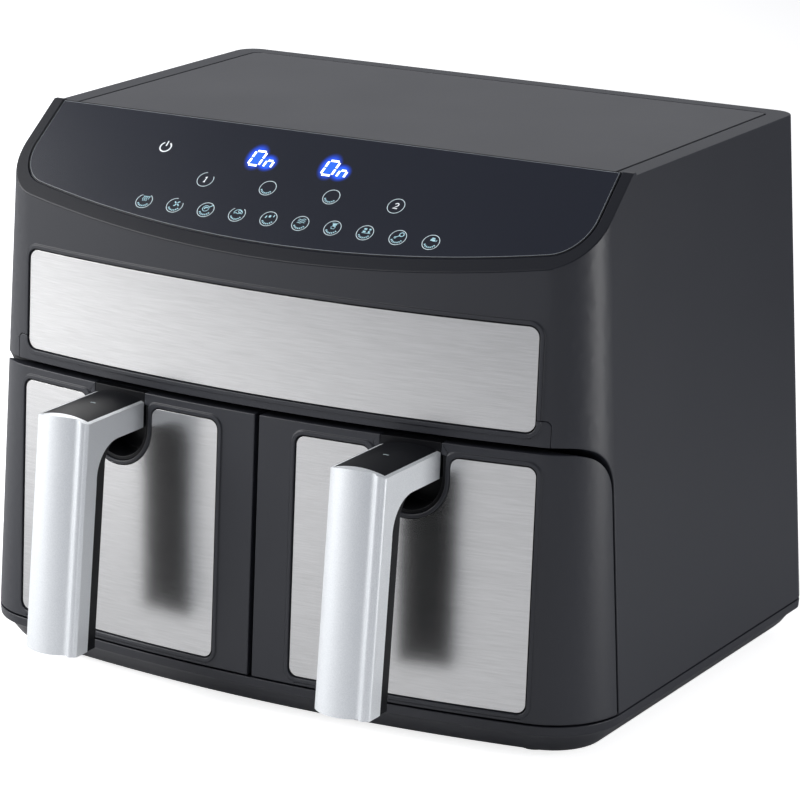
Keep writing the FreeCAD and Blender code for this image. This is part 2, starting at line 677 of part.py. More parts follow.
def base_tray():
    """Lip, curved belly, landing for the housing, ribs for the chambers, screw bosses."""
    sections = [outline(0), outline(-LIP_HEIGHT, LIP_DRAFT)]
    for i in range(1, BELLY_SECTIONS + 1):
        t = i / BELLY_SECTIONS
        fall = (BELLY_DEPTH - LIP_HEIGHT) * t * t * (3 - 2 * t)
        sections.append(outline(-LIP_HEIGHT - fall, LIP_DRAFT + (BELLY_INSET - LIP_DRAFT) * t))
    outer = Part.makeLoft(sections, True, True)
    floor = -BELLY_DEPTH + TRAY_WALL
    hollow = Part.makeLoft([outline(floor, BELLY_INSET + 2 * TRAY_WALL), outline(WALL, 2 * WALL)], True, True)
    landing = Part.makeLoft([outline(-WALL, LANDING_INSET), outline(SEAM_GAP, LANDING_INSET)], True, True)
    landing = landing.cut(box(-BIG, BIG, -BIG, OPENING_REAR, 0, BIG))
    tray = outer.fuse(landing).cut(hollow)
    reach = PAN_CENTRE + LINER_HALF_WIDTH - RIB_INSET
    extras = [box(-reach, reach, depth - TRAY_WALL / 2, depth + TRAY_WALL / 2, floor - 1, LINER_LOW)
              for depth in (LINER_FRONT + 2 * RIB_INSET, FAN_DEPTH, LINER_BACK - 2 * RIB_INSET)]
    cuts = []
    for x, depth in TRAY_SCREWS:
        extras.append(post(x, depth, floor - 1, SEAM_GAP, POST_RADIUS + 1))
        cuts.append(post(x, depth, -BIG, SCREW_SEAT, SCREW_HEAD_RADIUS + PART_GAP))
        cuts.append(post(x, depth, -BIG, BIG, SCREW_RADIUS + SCREW_CLEARANCE))
    for x, depth in foot_places():
        cuts.append(post(x, depth, -BIG, BIG, FOOT_PEG_RADIUS + PIN_CLEARANCE))
    return tray.fuse(extras).cut(cuts)


def foot_places():
    x = half_width(0) - FOOT_FROM_SIDE
    return [(s * x, depth) for s in (-1, 1) for depth in (FOOT_FROM_FRONT, BODY_DEPTH - FOOT_FROM_BACK)]


def feet():
    """Rubber feet, each a pad with a peg pushed through the tray's floor and a barb on top."""
    pads = []
    for x, depth in foot_places():
        pad = post(x, depth, -SEAM, -BELLY_DEPTH, FOOT_RADIUS)
        rim = [e for e in pad.Edges if e.BoundBox.ZLength < 1e-6 and abs(e.BoundBox.ZMin) < 1e-6]
        peg = post(x, depth, -BELLY_DEPTH, -BELLY_DEPTH + TRAY_WALL, FOOT_PEG_RADIUS)
        barb = post(x, depth, -BELLY_DEPTH + TRAY_WALL, -BELLY_DEPTH + 2 * TRAY_WALL, FOOT_PEG_RADIUS + 1)
        pads.append(pad.makeFillet(FOOT_ROUND, rim).fuse([peg, barb]))
    return group(pads)


def tray_screws():
    return group(screw(at(x, depth, SCREW_SEAT + SCREW_LENGTH), Vector(0, 0, -1)) for x, depth in TRAY_SCREWS)


# ---------------------------------------------------------------- control panel
def key_places():
    """Touch keys on the panel: the program row, the four above it, and the power key."""
    row = [((i - (KEY_COUNT - 1) / 2) * KEY_PITCH, KEY_ROW) for i in range(KEY_COUNT)]
    upper = [((i - 1.5) * 2 * KEY_PITCH, ZONE_ROW) for i in range(4)]
    return row + upper + [POWER_KEY]


def control_glass():
    return glass_zone(0, -GLASS_THICKNESS, 0, PANEL_LENGTH)


def control_board():
    return panel_box(-BOARD_WIDTH / 2, BOARD_WIDTH / 2, BOARD_START, BOARD_START + BOARD_LENGTH,
                     -BOARD_DROP - BOARD_THICKNESS, -BOARD_DROP)


def touch_springs():
    return group(panel_post(x, up, -BOARD_DROP, -GLASS_THICKNESS, KEY_SPRING_RADIUS)
                 for x, up in key_places())


def display_modules():
    blocks = []
    for side in SIDES.values():
        x = side * DISPLAY_OFFSET
        blocks.append(panel_box(x - DISPLAY_WIDTH / 2, x + DISPLAY_WIDTH / 2,
                                DISPLAY_ROW - DISPLAY_HEIGHT / 2, DISPLAY_ROW + DISPLAY_HEIGHT / 2,
                                -BOARD_DROP, -GLASS_THICKNESS - PART_GAP))
    return group(blocks)


def steel_strip():
    return strip_prism(0).common(front_layer(0, STEEL_THICKNESS))


# ---------------------------------------------------------------- hot-air units, drawn on the right
def tube_arc(centre, radius, start, end):
    """Part of a ring of heater tube, between two angles in degrees."""
    bend = Part.makeTorus(radius, HEATER_TUBE_RADIUS, Vector(), Vector(0, 0, 1), -180, 180, end - start)
    bend.rotate(Vector(), Vector(0, 0, 1), start)
    bend.translate(centre)
    return bend


def heater_point(radius, angle):
    turn = math.radians(angle)
    return at(PAN_CENTRE + radius * math.cos(turn), FAN_DEPTH + radius * math.sin(turn), HEATER_LEVEL)


def heater_legs():
    """Where the tube's two ends turn upwards: both outside the fan's reach."""
    return [heater_point(HEATER_OUTER_RADIUS, angle) for angle in (HEATER_OUTER_END, HEATER_INNER_END)]


def heater():
    """Two rings of one bent tube, with its ends brought up through the chamber's roof."""
    centre = at(PAN_CENTRE, FAN_DEPTH, HEATER_LEVEL)
    middle = (HEATER_OUTER_RADIUS + HEATER_INNER_RADIUS) / 2
    bend = (HEATER_OUTER_RADIUS - HEATER_INNER_RADIUS) / 2
    inner_end = heater_point(HEATER_INNER_RADIUS, HEATER_INNER_END)
    across = heater_point(HEATER_OUTER_RADIUS, HEATER_INNER_END) - inner_end
    parts = [
        tube_arc(centre, HEATER_OUTER_RADIUS, HEATER_BEND_ANGLE, HEATER_OUTER_END),
        tube_arc(heater_point(middle, HEATER_BEND_ANGLE), bend, HEATER_BEND_ANGLE - 180, HEATER_BEND_ANGLE),
        tube_arc(centre, HEATER_INNER_RADIUS, HEATER_BEND_ANGLE, HEATER_INNER_END),
        Part.makeSphere(HEATER_TUBE_RADIUS, inner_end),
        Part.makeCylinder(HEATER_TUBE_RADIUS, across.Length, inner_end, across),
    ]
    roof = SEAM + LINER_HIGH
    for foot in heater_legs():
        parts.append(Part.makeSphere(HEATER_TUBE_RADIUS, foot))
        parts.append(Part.makeCylinder(HEATER_TUBE_RADIUS, roof + HEATER_STUB - foot.z, foot))
        parts.append(Part.makeCylinder(2 * HEATER_TUBE_RADIUS, HEATER_FLANGE, Vector(foot.x, foot.y, roof)))
    return parts[0].fuse(parts[1:])


def chamber():
    """Sheet-metal cooking chamber round one drawer: open in front, lidded over the fan."""
    low, high = PAN_CENTRE - LINER_HALF_WIDTH, PAN_CENTRE + LINER_HALF_WIDTH
    w = LINER_WALL
    solid = box(low, high, LINER_FRONT, LINER_BACK, LINER_LOW, LINER_HIGH)
    cuts = [
        box(low + w, high - w, LINER_FRONT + w, LINER_BACK - w, LINER_LOW + w, LINER_HIGH - w),
        box(low + w, high - w, LINER_FRONT - w, LINER_FRONT + 2 * w, LINER_LOW + w, WINDOW_TOP),
        post(PAN_CENTRE, FAN_DEPTH, LINER_HIGH - 2 * w, LINER_HIGH + w, 2 * SHAFT_RADIUS),
        duct_box(DUCT_WALL, LINER_BACK - 2 * w, LINER_BACK + w),
    ]
    for point in heater_legs():
        cuts.append(Part.makeCylinder(HEATER_TUBE_RADIUS + PART_GAP, 4 * w,
                                      Vector(point.x, point.y, SEAM + LINER_HIGH - 2 * w)))
    return solid.cut(cuts)


def duct_box(shrink, depth0, depth1):
    return box(PAN_CENTRE - DUCT_WIDTH / 2 + shrink, PAN_CENTRE + DUCT_WIDTH / 2 - shrink,
               depth0, depth1, DUCT_LOW + shrink, DUCT_HIGH - shrink)


def exhaust_duct():
    tube = duct_box(0, LINER_BACK, BODY_DEPTH).cut(duct_box(DUCT_WALL, LINER_BACK - 1, BODY_DEPTH + 1))
    return tube.cut(back_box(-BIG / 4, BIG / 4, 0, HOUSING_HEIGHT, 0, BIG / 4))


def hole_grid(width, length, centre_depth, pitch):
    """Places of a staggered hole pattern inside a rectangle over the pan."""
    rows = int(length / pitch)
    places = []
    for j in range(rows):
        depth = centre_depth + (j - (rows - 1) / 2) * pitch
        count = int(width / pitch) - j % 2
        for i in range(count):
            places.append((PAN_CENTRE + (i - (count - 1) / 2) * pitch, depth))
    return places


def heater_guard():
    """Perforated plate between the pan and the heater."""
    half = LINER_HALF_WIDTH - LINER_WALL
    front, back = LINER_FRONT + LINER_WALL, LINER_BACK - LINER_WALL
    plate = box(PAN_CENTRE - half, PAN_CENTRE + half, front, back, GUARD_LEVEL, GUARD_LEVEL + GUARD_THICKNESS)
    holes = hole_grid(2 * half - GRID_MARGIN, back - front - GRID_MARGIN, FAN_DEPTH, GUARD_HOLE_PITCH)
    return plate.cut([post(x, depth, GUARD_LEVEL - 1, GUARD_LEVEL + GUARD_THICKNESS + 1, GUARD_HOLE_RADIUS)
                      for x, depth in holes])


def impeller(low, height, radius, blades, sweep):
    """A fan wheel: disc on top, hub, and straight blades set at an angle to the radius."""
    wheel = [post(PAN_CENTRE, FAN_DEPTH, low, low + height, FAN_HUB_RADIUS),
             post(PAN_CENTRE, FAN_DEPTH, low + height - FAN_SHEET, low + height, radius)]
    axis = at(PAN_CENTRE, FAN_DEPTH, low)
    start = FAN_HUB_RADIUS - 1
    for i in range(blades):
        blade = Part.makeBox(radius - start - 2, FAN_SHEET, height - FAN_SHEET / 2,
                             Vector(start, -FAN_SHEET / 2, 0))
        blade.rotate(Vector(start, 0, 0), Vector(0, 0, 1), sweep)
        blade.rotate(Vector(), Vector(0, 0, 1), i * 360 / blades)
        blade.translate(axis)
        wheel.append(blade.common(post(PAN_CENTRE, FAN_DEPTH, low, low + height, radius)))
    bore = post(PAN_CENTRE, FAN_DEPTH, low - 1, low + height + 1, SHAFT_RADIUS)
    return wheel[0].fuse(wheel[1:]).cut(bore)


def motor():
    can = post(PAN_CENTRE, FAN_DEPTH, MOTOR_LOW, MOTOR_LOW + MOTOR_HEIGHT, MOTOR_RADIUS)
    bearing = post(PAN_CENTRE, FAN_DEPTH, MOTOR_LOW - BRACKET_THICKNESS, MOTOR_LOW, MOTOR_BOSS_RADIUS)
    bore = post(PAN_CENTRE, FAN_DEPTH, 0, HOUSING_HEIGHT, SHAFT_RADIUS + PIN_CLEARANCE)
    holes = [screw_hole(tip, direction, SCREW_LENGTH) for tip, direction in motor_screw_places()]
    return can.fuse(bearing).cut([bore] + holes)


def motor_screw_places():
    """Screws up through the bracket into the motor."""
    places = []
    for i in range(3):
        turn = math.radians(30 + 120 * i)
        x = PAN_CENTRE + MOTOR_SCREW_CIRCLE * math.cos(turn)
        depth = FAN_DEPTH + MOTOR_SCREW_CIRCLE * math.sin(turn)
        places.append((at(x, depth, MOTOR_LOW - BRACKET_THICKNESS + SCREW_LENGTH), Vector(0, 0, -1)))
    return places


def motor_bracket():
    """Plate on three legs that carries the motor over the chamber's roof."""
    low = MOTOR_LOW - BRACKET_THICKNESS
    parts = [post(PAN_CENTRE, FAN_DEPTH, low, MOTOR_LOW, BRACKET_RADIUS)]
    for i in range(3):
        turn = math.radians(90 + 120 * i)
        x = PAN_CENTRE + BRACKET_LEG_CIRCLE * math.cos(turn)
        depth = FAN_DEPTH + BRACKET_LEG_CIRCLE * math.sin(turn)
        parts.append(post(x, depth, LINER_HIGH, low, BRACKET_LEG_RADIUS))
    cuts = [post(PAN_CENTRE, FAN_DEPTH, low - 1, MOTOR_LOW + 1, MOTOR_BOSS_RADIUS + PIN_CLEARANCE)]
    for tip, direction in motor_screw_places():
        cuts.append(screw_hole(tip, direction, SCREW_LENGTH + 1))
    return fused(parts).cut(cuts)


def motor_shaft():
    return post(PAN_CENTRE, FAN_DEPTH, FAN_LEVEL - SHAFT_STUB, COOLER_LOW + COOLER_HEIGHT + SHAFT_STUB,
                SHAFT_RADIUS)


def thermal_cutout():
    return post(PAN_CENTRE, LINER_BACK - CUTOUT_INSET, LINER_HIGH, LINER_HIGH + CUTOUT_HEIGHT, CUTOUT_RADIUS)


def pan_runners():
    """The two rails that a pan's rim slides on."""
    top = PAN_HIGH - PAN_WALL - PART_GAP
    rails = []
    for sign in (-1, 1):
        wall = PAN_CENTRE + sign * (LINER_HALF_WIDTH - LINER_WALL)
        edge = PAN_CENTRE + sign * (PAN_WIDTH / 2 + SLIDE_GAP)
        rails.append(box(min(wall, edge), max(wall, edge), LINER_FRONT + LINER_WALL, LINER_BACK - LINER_WALL,
                         top - RAIL_HEIGHT, top))
    return rails


def drawer_sensor():
    """Reed switch behind the middle post; the drawer carries its magnet."""
    return box(DIVIDER_THICKNESS, LINER_INNER - LINER_WALL, LINER_FRONT, LINER_FRONT + MAGNET_DEPTH,
               MAGNET_LOW, MAGNET_HIGH)


def centre_divider():
    half = DIVIDER_THICKNESS / 2
    return box(-half, half, LINER_FRONT + 2 * POST_RADIUS + WALL, LINER_BACK, LINER_LOW, LINER_HIGH)


def power_board():
    """Power board over the chambers, with its relays, capacitor, transformer and terminals."""
    x, front, back = POWER_BOARD
    top = POWER_LEVEL + BOARD_THICKNESS
    parts = [box(-x, x, front, back, POWER_LEVEL, top)]
    for side in SIDES.values():
        for depth in (front + POWER_LEG_INSET, back - POWER_LEG_INSET):
            parts.append(post(side * POWER_LEG_X, depth, LINER_HIGH, POWER_LEVEL, POWER_LEG_RADIUS))
    for x0, x1, depth0, depth1, height in POWER_BLOCKS:
        parts.append(box(x0, x1, depth0, depth1, top, top + height))
    x, depth, radius, height = POWER_CAPACITOR
    parts.append(post(x, depth, top, top + height, radius))
    return fused(parts)


# ---------------------------------------------------------------- drawer, drawn on the right
def notch_prism(radius, top):
    """The U-shaped notch round the handle's root, flat at the top."""
    near = -BIG / 2
    left, right = HANDLE_X - radius, HANDLE_X + radius
    corners = [at(left, near, top), at(left, near, NOTCH_LEVEL),
               at(right, near, NOTCH_LEVEL), at(right, near, top)]
    bottom = arc(corners[1], at(HANDLE_X, near, NOTCH_LEVEL - radius), corners[2])
    wire = Part.Wire([line(corners[0], corners[1]), bottom, line(corners[2], corners[3]),
                      line(corners[3], corners[0])])
    return solid_of(wire, Vector(0, BIG, 0))


def inlay_prism(grow):
    """The inlay's outline: a rectangle less the notch, whose mouth is rounded."""
    corner = INLAY_CORNER
    plate = rect_prism(INLAY_INNER - grow, INLAY_OUTER + grow,
                       INLAY_LOW - grow, INLAY_HIGH + grow, corner + grow)
    radius = NOTCH_RADIUS - grow
    mouth = box(HANDLE_X - radius - corner, HANDLE_X + radius + corner, -BIG / 2, BIG / 2,
                INLAY_HIGH + grow - corner, INLAY_HIGH + BIG / 20)
    for sign in (-1, 1):
        mouth = mouth.cut(Part.makeCylinder(
            corner, BIG, at(HANDLE_X + sign * (radius + corner), -BIG / 2, INLAY_HIGH + grow - corner),
            Vector(0, 1, 0)))
    return plate.cut([notch_prism(radius, INLAY_HIGH + BIG / 20), mouth])


def drawer_form(shrink):
    """The drawer front's outer form, or the form `shrink` inside it."""
    form = body_solid(DRAWER_BOTTOM + shrink, DRAWER_TOP - shrink, shrink)
    form = form.common(opening_prism(DRAWER_REAR - shrink, DRAWER_TOP - shrink, WRAP_RADIUS - shrink))
    return form.common(box(MIDDLE_GAP / 2 + shrink, BIG, -BIG / 4, BIG / 4, 0, BIG))


def plate_screw_places():
    """Screws that hold the back plate to the drawer front's posts."""
    middle = (MIDDLE_GAP / 2 + half_width(DRAWER_BOTTOM)) / 2
    reach = middle - MIDDLE_GAP / 2 - 4 * WALL
    spots = [(middle + s * reach, level) for s in (-1, 1) for level in PLATE_SCREW_LEVELS]
    tip_depth = DRAWER_REAR - SCREW_HEAD_HEIGHT - SCREW_LENGTH
    return [(at(x, tip_depth, level), Vector(0, 1, 0)) for x, level in spots]


def pan_screw_places():
    tip_depth = DRAWER_REAR + PAN_WALL - SCREW_LENGTH
    return [(at(PAN_CENTRE + s * PAN_SCREW_OFFSET, tip_depth, PAN_SCREW_LEVEL), Vector(0, 1, 0))
            for s in (-1, 1)]


def drawer_front():
    """Hollow moulding that wraps round the body's corner, with the inlay's bead."""
    shell = drawer_form(0).cut(drawer_form(WALL))
    mouth = box(MIDDLE_GAP / 2 + WALL, BIG, DRAWER_REAR - 2 * WALL, DRAWER_REAR + 1,
                DRAWER_BOTTOM + WALL, DRAWER_TOP - WRAP_RADIUS)
    shell = shell.cut(mouth.common(body_solid(0, FORM_TOP, WALL)))
    bead = inlay_prism(BEAD_WIDTH).cut(inlay_prism(PART_GAP))
    shell = shell.fuse(bead.common(front_layer(-BEAD_PROUD, WALL / 2)))
    posts = []
    for tip, direction in plate_screw_places():
        start = Vector(tip.x, FRONT_Y, tip.z)
        posts.append(Part.makeCylinder(SCREW_POST_RADIUS, DRAWER_REAR - WALL, start, direction))
    inside = drawer_form(WALL / 2)
    posts = [p.common(inside) for p in posts]
    cuts = [inlay_prism(PART_GAP).common(front_layer(-WALL, STEEL_THICKNESS)),
            notch_prism(NOTCH_RADIUS - SOCKET_RIM + PART_GAP / 2,
                        INLAY_HIGH + PART_GAP / 2).common(front_layer(-WALL, 3 * WALL)),
            root_block(HANDLE_X, PART_GAP / 2)]
    for tip, direction in plate_screw_places():
        cuts.append(screw_hole(tip - direction, direction, SCREW_LENGTH + 2))
    return shell.fuse(posts).cut(cuts)


def root_block(middle, grow):
    """The handle's root: it fills an upright slot at the drawer's top edge."""
    half = HANDLE_WIDTH / 2 + grow
    slot = box(middle - half, middle + half, -BIG / 4, BIG / 4, ARM_LOW - grow, DRAWER_TOP + grow)
    return slot.common(front_layer(-WALL if grow else 0, ROOT_DEPTH + grow))


def drawer_inlay():
    return inlay_prism(0).common(front_layer(0, STEEL_THICKNESS))


def drawer_back_plate():
    """Closes the drawer front from behind and carries the pan."""
    plate = box(MIDDLE_GAP / 2 + WALL + PART_GAP, BIG, DRAWER_REAR - WALL, DRAWER_REAR,
                DRAWER_BOTTOM + WALL + PART_GAP, DRAWER_TOP - WRAP_RADIUS - PART_GAP)
    plate = plate.common(body_solid(0, FORM_TOP, WALL + PART_GAP))
    cuts = []
    for tip, direction in plate_screw_places():
        cuts.append(screw_hole(tip, direction, SCREW_LENGTH + 1))
        seat = tip + direction * SCREW_LENGTH
        cuts.append(Part.makeCylinder(SCREW_HEAD_RADIUS + PART_GAP, WALL, seat, direction))
    for tip, direction in pan_screw_places():
        cuts.append(screw_hole(tip, direction, SCREW_LENGTH + 1))
    return plate.cut(cuts)


def handle_socket():
    """Cup behind the notch: finger room under the arm, and the seat of the handle's root."""
    radius = NOTCH_RADIUS - SOCKET_RIM
    cup = notch_prism(radius, INLAY_HIGH).common(front_layer(SOCKET_SUNK, SOCKET_DEPTH))
    hollow = notch_prism(radius - SOCKET_WALL, INLAY_HIGH + WALL)
    return cup.cut(hollow.common(front_layer(-WALL, SOCKET_DEPTH - SOCKET_WALL)))


def grip_side(middle, rear_reach, inner_radius):
    """Handle seen from the side: arm, grip, and the curve inside between them."""
    x = middle - HANDLE_WIDTH / 2
    bend_level = ARM_LOW - inner_radius
    seat = SOCKET_DEPTH
    top = DRAWER_TOP + WALL
    front = 2 * OBJECT_FRONT

    def rear(level):
        return -rear_reach - GRIP_LEAN * (ARM_INNER_LEVEL - level)

    turn = inner_radius * (1 - math.sqrt(0.5))
    bend_end = at(x, rear(bend_level) + inner_radius, ARM_LOW)
    points = [at(x, seat, ARM_LOW), at(x, seat, top), at(x, front, top), at(x, front, GRIP_BOTTOM),
              at(x, rear(GRIP_BOTTOM), GRIP_BOTTOM), at(x, rear(bend_level), bend_level)]
    edges = [line(points[i], points[i + 1]) for i in range(5)]
    edges.append(arc(points[5], at(x, rear(bend_level) + turn, ARM_LOW - turn), bend_end))
    edges.append(line(bend_end, points[0]))
    return solid_of(Part.Wire(edges), Vector(HANDLE_WIDTH, 0, 0))


def grip_plan(middle, shrink):
    """Grip seen from above, run down its lean: crowned front, a flute, a rounded band."""
    half = HANDLE_WIDTH / 2 - shrink
    crown = -HANDLE_REACH + shrink
    left = crown + CROWN_LEFT_FALL
    flute = crown + FLUTE_FALL
    band = crown + BAND_FALL
    band_start = FLUTE_OFFSET + FLUTE_HALF_WIDTH
    band_end = half - BAND_CORNER
    top = DRAWER_TOP + WALL

    def plan(t, depth):
        return at(middle + t, depth + GRIP_LEAN * (top - ARM_SIDE_HIGH), top)

    edges = [
        arc(plan(-half, left), plan(-half / 4, crown), plan(FLUTE_OFFSET - FLUTE_HALF_WIDTH, flute)),
        arc(plan(FLUTE_OFFSET - FLUTE_HALF_WIDTH, flute), plan(FLUTE_OFFSET, flute + FLUTE_DEPTH),
            plan(band_start, flute)),
        arc(plan(band_start, flute), plan((band_start + band_end) / 2, band), plan(band_end, flute)),
        arc(plan(band_end, flute), plan(half - BAND_CORNER / 4, flute + BAND_CORNER / 3),
            plan(half, flute + BAND_CORNER)),
        line(plan(half, flute + BAND_CORNER), plan(half, BODY_DEPTH)),
        line(plan(half, BODY_DEPTH), plan(-half, BODY_DEPTH)),
        line(plan(-half, BODY_DEPTH), plan(-half, left)),
    ]
    drop = top + SEAM
    return solid_of(Part.Wire(edges), Vector(0, -GRIP_LEAN * drop, -drop))


def arm_top(middle, shrink):
    """All that lies under the arm's crowned top, `shrink` below it."""
    half = HANDLE_WIDTH / 2
    radius = (half ** 2 + ARM_CROWN ** 2) / (2 * ARM_CROWN)
    axis = at(middle, -BIG / 2, ARM_SIDE_HIGH + ARM_CROWN - radius)
    barrel = Part.makeCylinder(radius - shrink, BIG, axis, Vector(0, 1, 0))
    column = box(middle - half, middle + half, -BIG / 2, BIG / 2, 0, ARM_SIDE_HIGH - shrink)
    return barrel.fuse(column)


def handle_form(middle, shrink):
    """Handle where its side view, its plan and its crowned top meet, `shrink` inside its skin."""
    form = grip_side(middle, GRIP_REAR_REACH, LINER_INNER_RADIUS)
    form = form.common(grip_plan(middle, shrink)).common(arm_top(middle, shrink))
    return form.common(box(-BIG, BIG, -BIG / 4, BIG / 4, GRIP_BOTTOM + shrink, BIG / 4)).cut(behind_front(0))


def handle_parts(middle):
    """Painted shell, black liner with the root block, and the cap let into the arm."""
    half = HANDLE_WIDTH / 2
    form = handle_form(middle, 0)
    core = handle_form(middle, HANDLE_WALL)
    zone = grip_side(middle, GRIP_SHELL_REACH, ARM_INNER_RADIUS)
    cap_front = -HANDLE_REACH + CAP_MARGIN_FRONT
    pocket = box(middle - half + CAP_MARGIN, middle + half - CAP_MARGIN, cap_front, BIG / 4,
                 ARM_LOW, BIG / 4)
    pocket = pocket.cut(arm_top(middle, CAP_THICKNESS))
    shell = form.common(zone).cut([core, pocket])
    skin = box(middle - half + PART_GAP, middle + half - PART_GAP, -BIG / 4, BIG / 4, 0, BIG / 4)
    spine = core.common(zone).common(
        box(middle - half + 2 * HANDLE_WALL, middle + half - 2 * HANDLE_WALL, -BIG / 4, BIG / 4,
            GRIP_BOTTOM + 2 * HANDLE_WALL, ARM_SIDE_HIGH - 2 * HANDLE_WALL))
    half = ROOT_TENON_WIDTH / 2
    tenon = box(middle - half, middle + half, -BIG / 4, BIG / 4, ARM_LOW, INLAY_HIGH - PART_GAP)
    tenon = tenon.common(front_layer(0, SOCKET_DEPTH - SOCKET_WALL - PART_GAP))
    liner = root_block(middle, 0).fuse([tenon, spine, form.cut(zone).common(skin)])
    return {"handle_shell": shell, "handle_liner": liner, "handle_cap": form.common(pocket)}


def pan():
    """Coated pan with rounded corners and a rim that runs on the rails."""
    front = DRAWER_REAR
    back = front + PAN_LENGTH
    half = PAN_WIDTH / 2

    def block(grow, low, high):
        solid = box(PAN_CENTRE - half - grow, PAN_CENTRE + half + grow, front - grow, back + grow, low, high)
        return solid.makeFillet(PAN_CORNER + grow, upright_edges(solid))

    body = block(0, PAN_LOW, PAN_HIGH)
    rim = block(PAN_RIM, PAN_HIGH - PAN_WALL, PAN_HIGH).cut(box(-BIG, BIG, -BIG, front, 0, BIG))
    hollow = block(-PAN_WALL, PAN_LOW + PAN_WALL, PAN_HIGH + 1)
    cuts = [hollow] + [screw_hole(tip, direction, SCREW_LENGTH + 1) for tip, direction in pan_screw_places()]
    return body.fuse(rim).cut(cuts)


def crisper_size():
    half = PAN_WIDTH / 2 - PAN_WALL - CRISPER_MARGIN
    front = DRAWER_REAR + PAN_WALL + CRISPER_MARGIN
    back = DRAWER_REAR + PAN_LENGTH - PAN_WALL - CRISPER_MARGIN
    level = PAN_LOW + PAN_WALL + CRISPER_LIFT
    return half, front, back, level


def crisper_plate():
    """Perforated plate with a turned-down skirt and a finger hole."""
    half, front, back, level = crisper_size()

    def block(inset, low, high):
        solid = box(PAN_CENTRE - half + inset, PAN_CENTRE + half - inset, front + inset, back - inset,
                    low, high)
        return solid.makeFillet(PAN_CORNER - PAN_WALL - CRISPER_MARGIN - inset, upright_edges(solid))

    top = level + CRISPER_THICKNESS
    under = block(CRISPER_THICKNESS, level - 2 * CRISPER_SKIRT, level)
    plate = block(0, level - CRISPER_SKIRT, top).cut(under)
    middle = (front + back) / 2
    cuts = [post(PAN_CENTRE, middle, level - 1, top + 1, FINGER_HOLE_RADIUS)]
    grid = hole_grid(2 * half - GRID_MARGIN, back - front - GRID_MARGIN, middle, CRISPER_HOLE_PITCH)
    for x, depth in grid:
        if math.hypot(x - PAN_CENTRE, depth - middle) > FINGER_HOLE_RADIUS + CRISPER_HOLE_PITCH / 2:
            cuts.append(post(x, depth, level - 1, top + 1, CRISPER_HOLE_RADIUS))
    return plate.cut(cuts)


def crisper_feet():
    """Silicone feet under the plate's corners; they stand just clear of the pan's floor."""
    half, front, back, level = crisper_size()
    low = PAN_LOW + PAN_WALL + PART_GAP
    places = [(x, depth) for x in (PAN_CENTRE - half + BUMPER_INSET, PAN_CENTRE + half - BUMPER_INSET)
              for depth in (front + BUMPER_INSET, back - BUMPER_INSET)]
    return group(post(x, depth, low, level, BUMPER_RADIUS) for x, depth in places)


def drawer_magnet():
    x = MIDDLE_GAP / 2 + WALL + SLIDE_GAP
    back = DRAWER_REAR - WALL
    return box(x, x + MAGNET_WIDTH, back - MAGNET_DEPTH, back, MAGNET_LOW, MAGNET_HIGH)


def drawer_screws():
    return group(screw(tip, direction) for tip, direction in plate_screw_places() + pan_screw_places())


# ---------------------------------------------------------------- all the pieces
def build():
    nodes = housing()
    nodes["top_plate"] = top_plate()
    nodes["rear_cover"] = rear_cover()
    nodes["exhaust_hoods"] = exhaust_hoods()
    nodes["rear_screws"] = group(screw(*cover_screw(x, level)) for x, level in COVER_SCREWS)
    nodes["cord_gland"] = cord_gland()
    nodes["base_tray"] = base_tray()
    nodes["feet"] = feet()
    nodes["tray_screws"] = tray_screws()
    nodes["control_glass"] = control_glass()
    nodes["control_board"] = control_board()
    nodes["touch_springs"] = touch_springs()
    nodes["display_modules"] = display_modules()
    nodes["steel_strip"] = steel_strip()
    nodes["centre_divider"] = centre_divider()
    nodes["power_board"] = power_board()
    # drawers are a mirrored pair, but their handles aren't; the hot-air units are the same part twice
    mirrored = {
        "drawer_front": drawer_front(), "drawer_inlay": drawer_inlay(),
        "drawer_back_plate": drawer_back_plate(),
        "handle_socket": handle_socket(), "pan": pan(), "drawer_magnet": drawer_magnet(),
        "drawer_screws": drawer_screws(), "crisper_plate": crisper_plate(), "crisper_feet": crisper_feet(),
    }
    repeated = {
        "cooking_chamber": chamber(), "heater": heater(), "fan_motor": motor(), "motor_shaft": motor_shaft(),
        "convection_fan": impeller(FAN_LEVEL, FAN_HEIGHT, FAN_RADIUS, FAN_BLADES, 0),
        "cooling_fan": impeller(COOLER_LOW, COOLER_HEIGHT, COOLER_RADIUS, COOLER_BLADES, COOLER_SWEEP),
    }
    for side_name, side in SIDES.items():
        for name, shape in mirrored.items():
            nodes[name + "_" + side_name] = on_side(shape, side)
        for name, shape in repeated.items():
            nodes[name + "_" + side_name] = moved(shape, PAN_CENTRE * (side - 1))
        for name, shape in handle_parts(side * HANDLE_X).items():
            nodes[name + "_" + side_name] = shape
    pairs = {
        "heater_guards": [heater_guard()], "motor_brackets": [motor_bracket()],
        "motor_screws": [screw(*place) for place in motor_screw_places()],
        "exhaust_ducts": [exhaust_duct()], "pan_runners": pan_runners(),
        "drawer_sensors": [drawer_sensor()], "thermal_cutouts": [thermal_cutout()],
    }
    for name, shapes in pairs.items():
        nodes[name] = group(on_side(shape, side) for side in SIDES.values() for shape in shapes)
    return nodes


for node, shape in build().items():
    shape.exportStep("parts/" + node + ".step")
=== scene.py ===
import json
import math

import bpy
from mathutils import Matrix, Vector


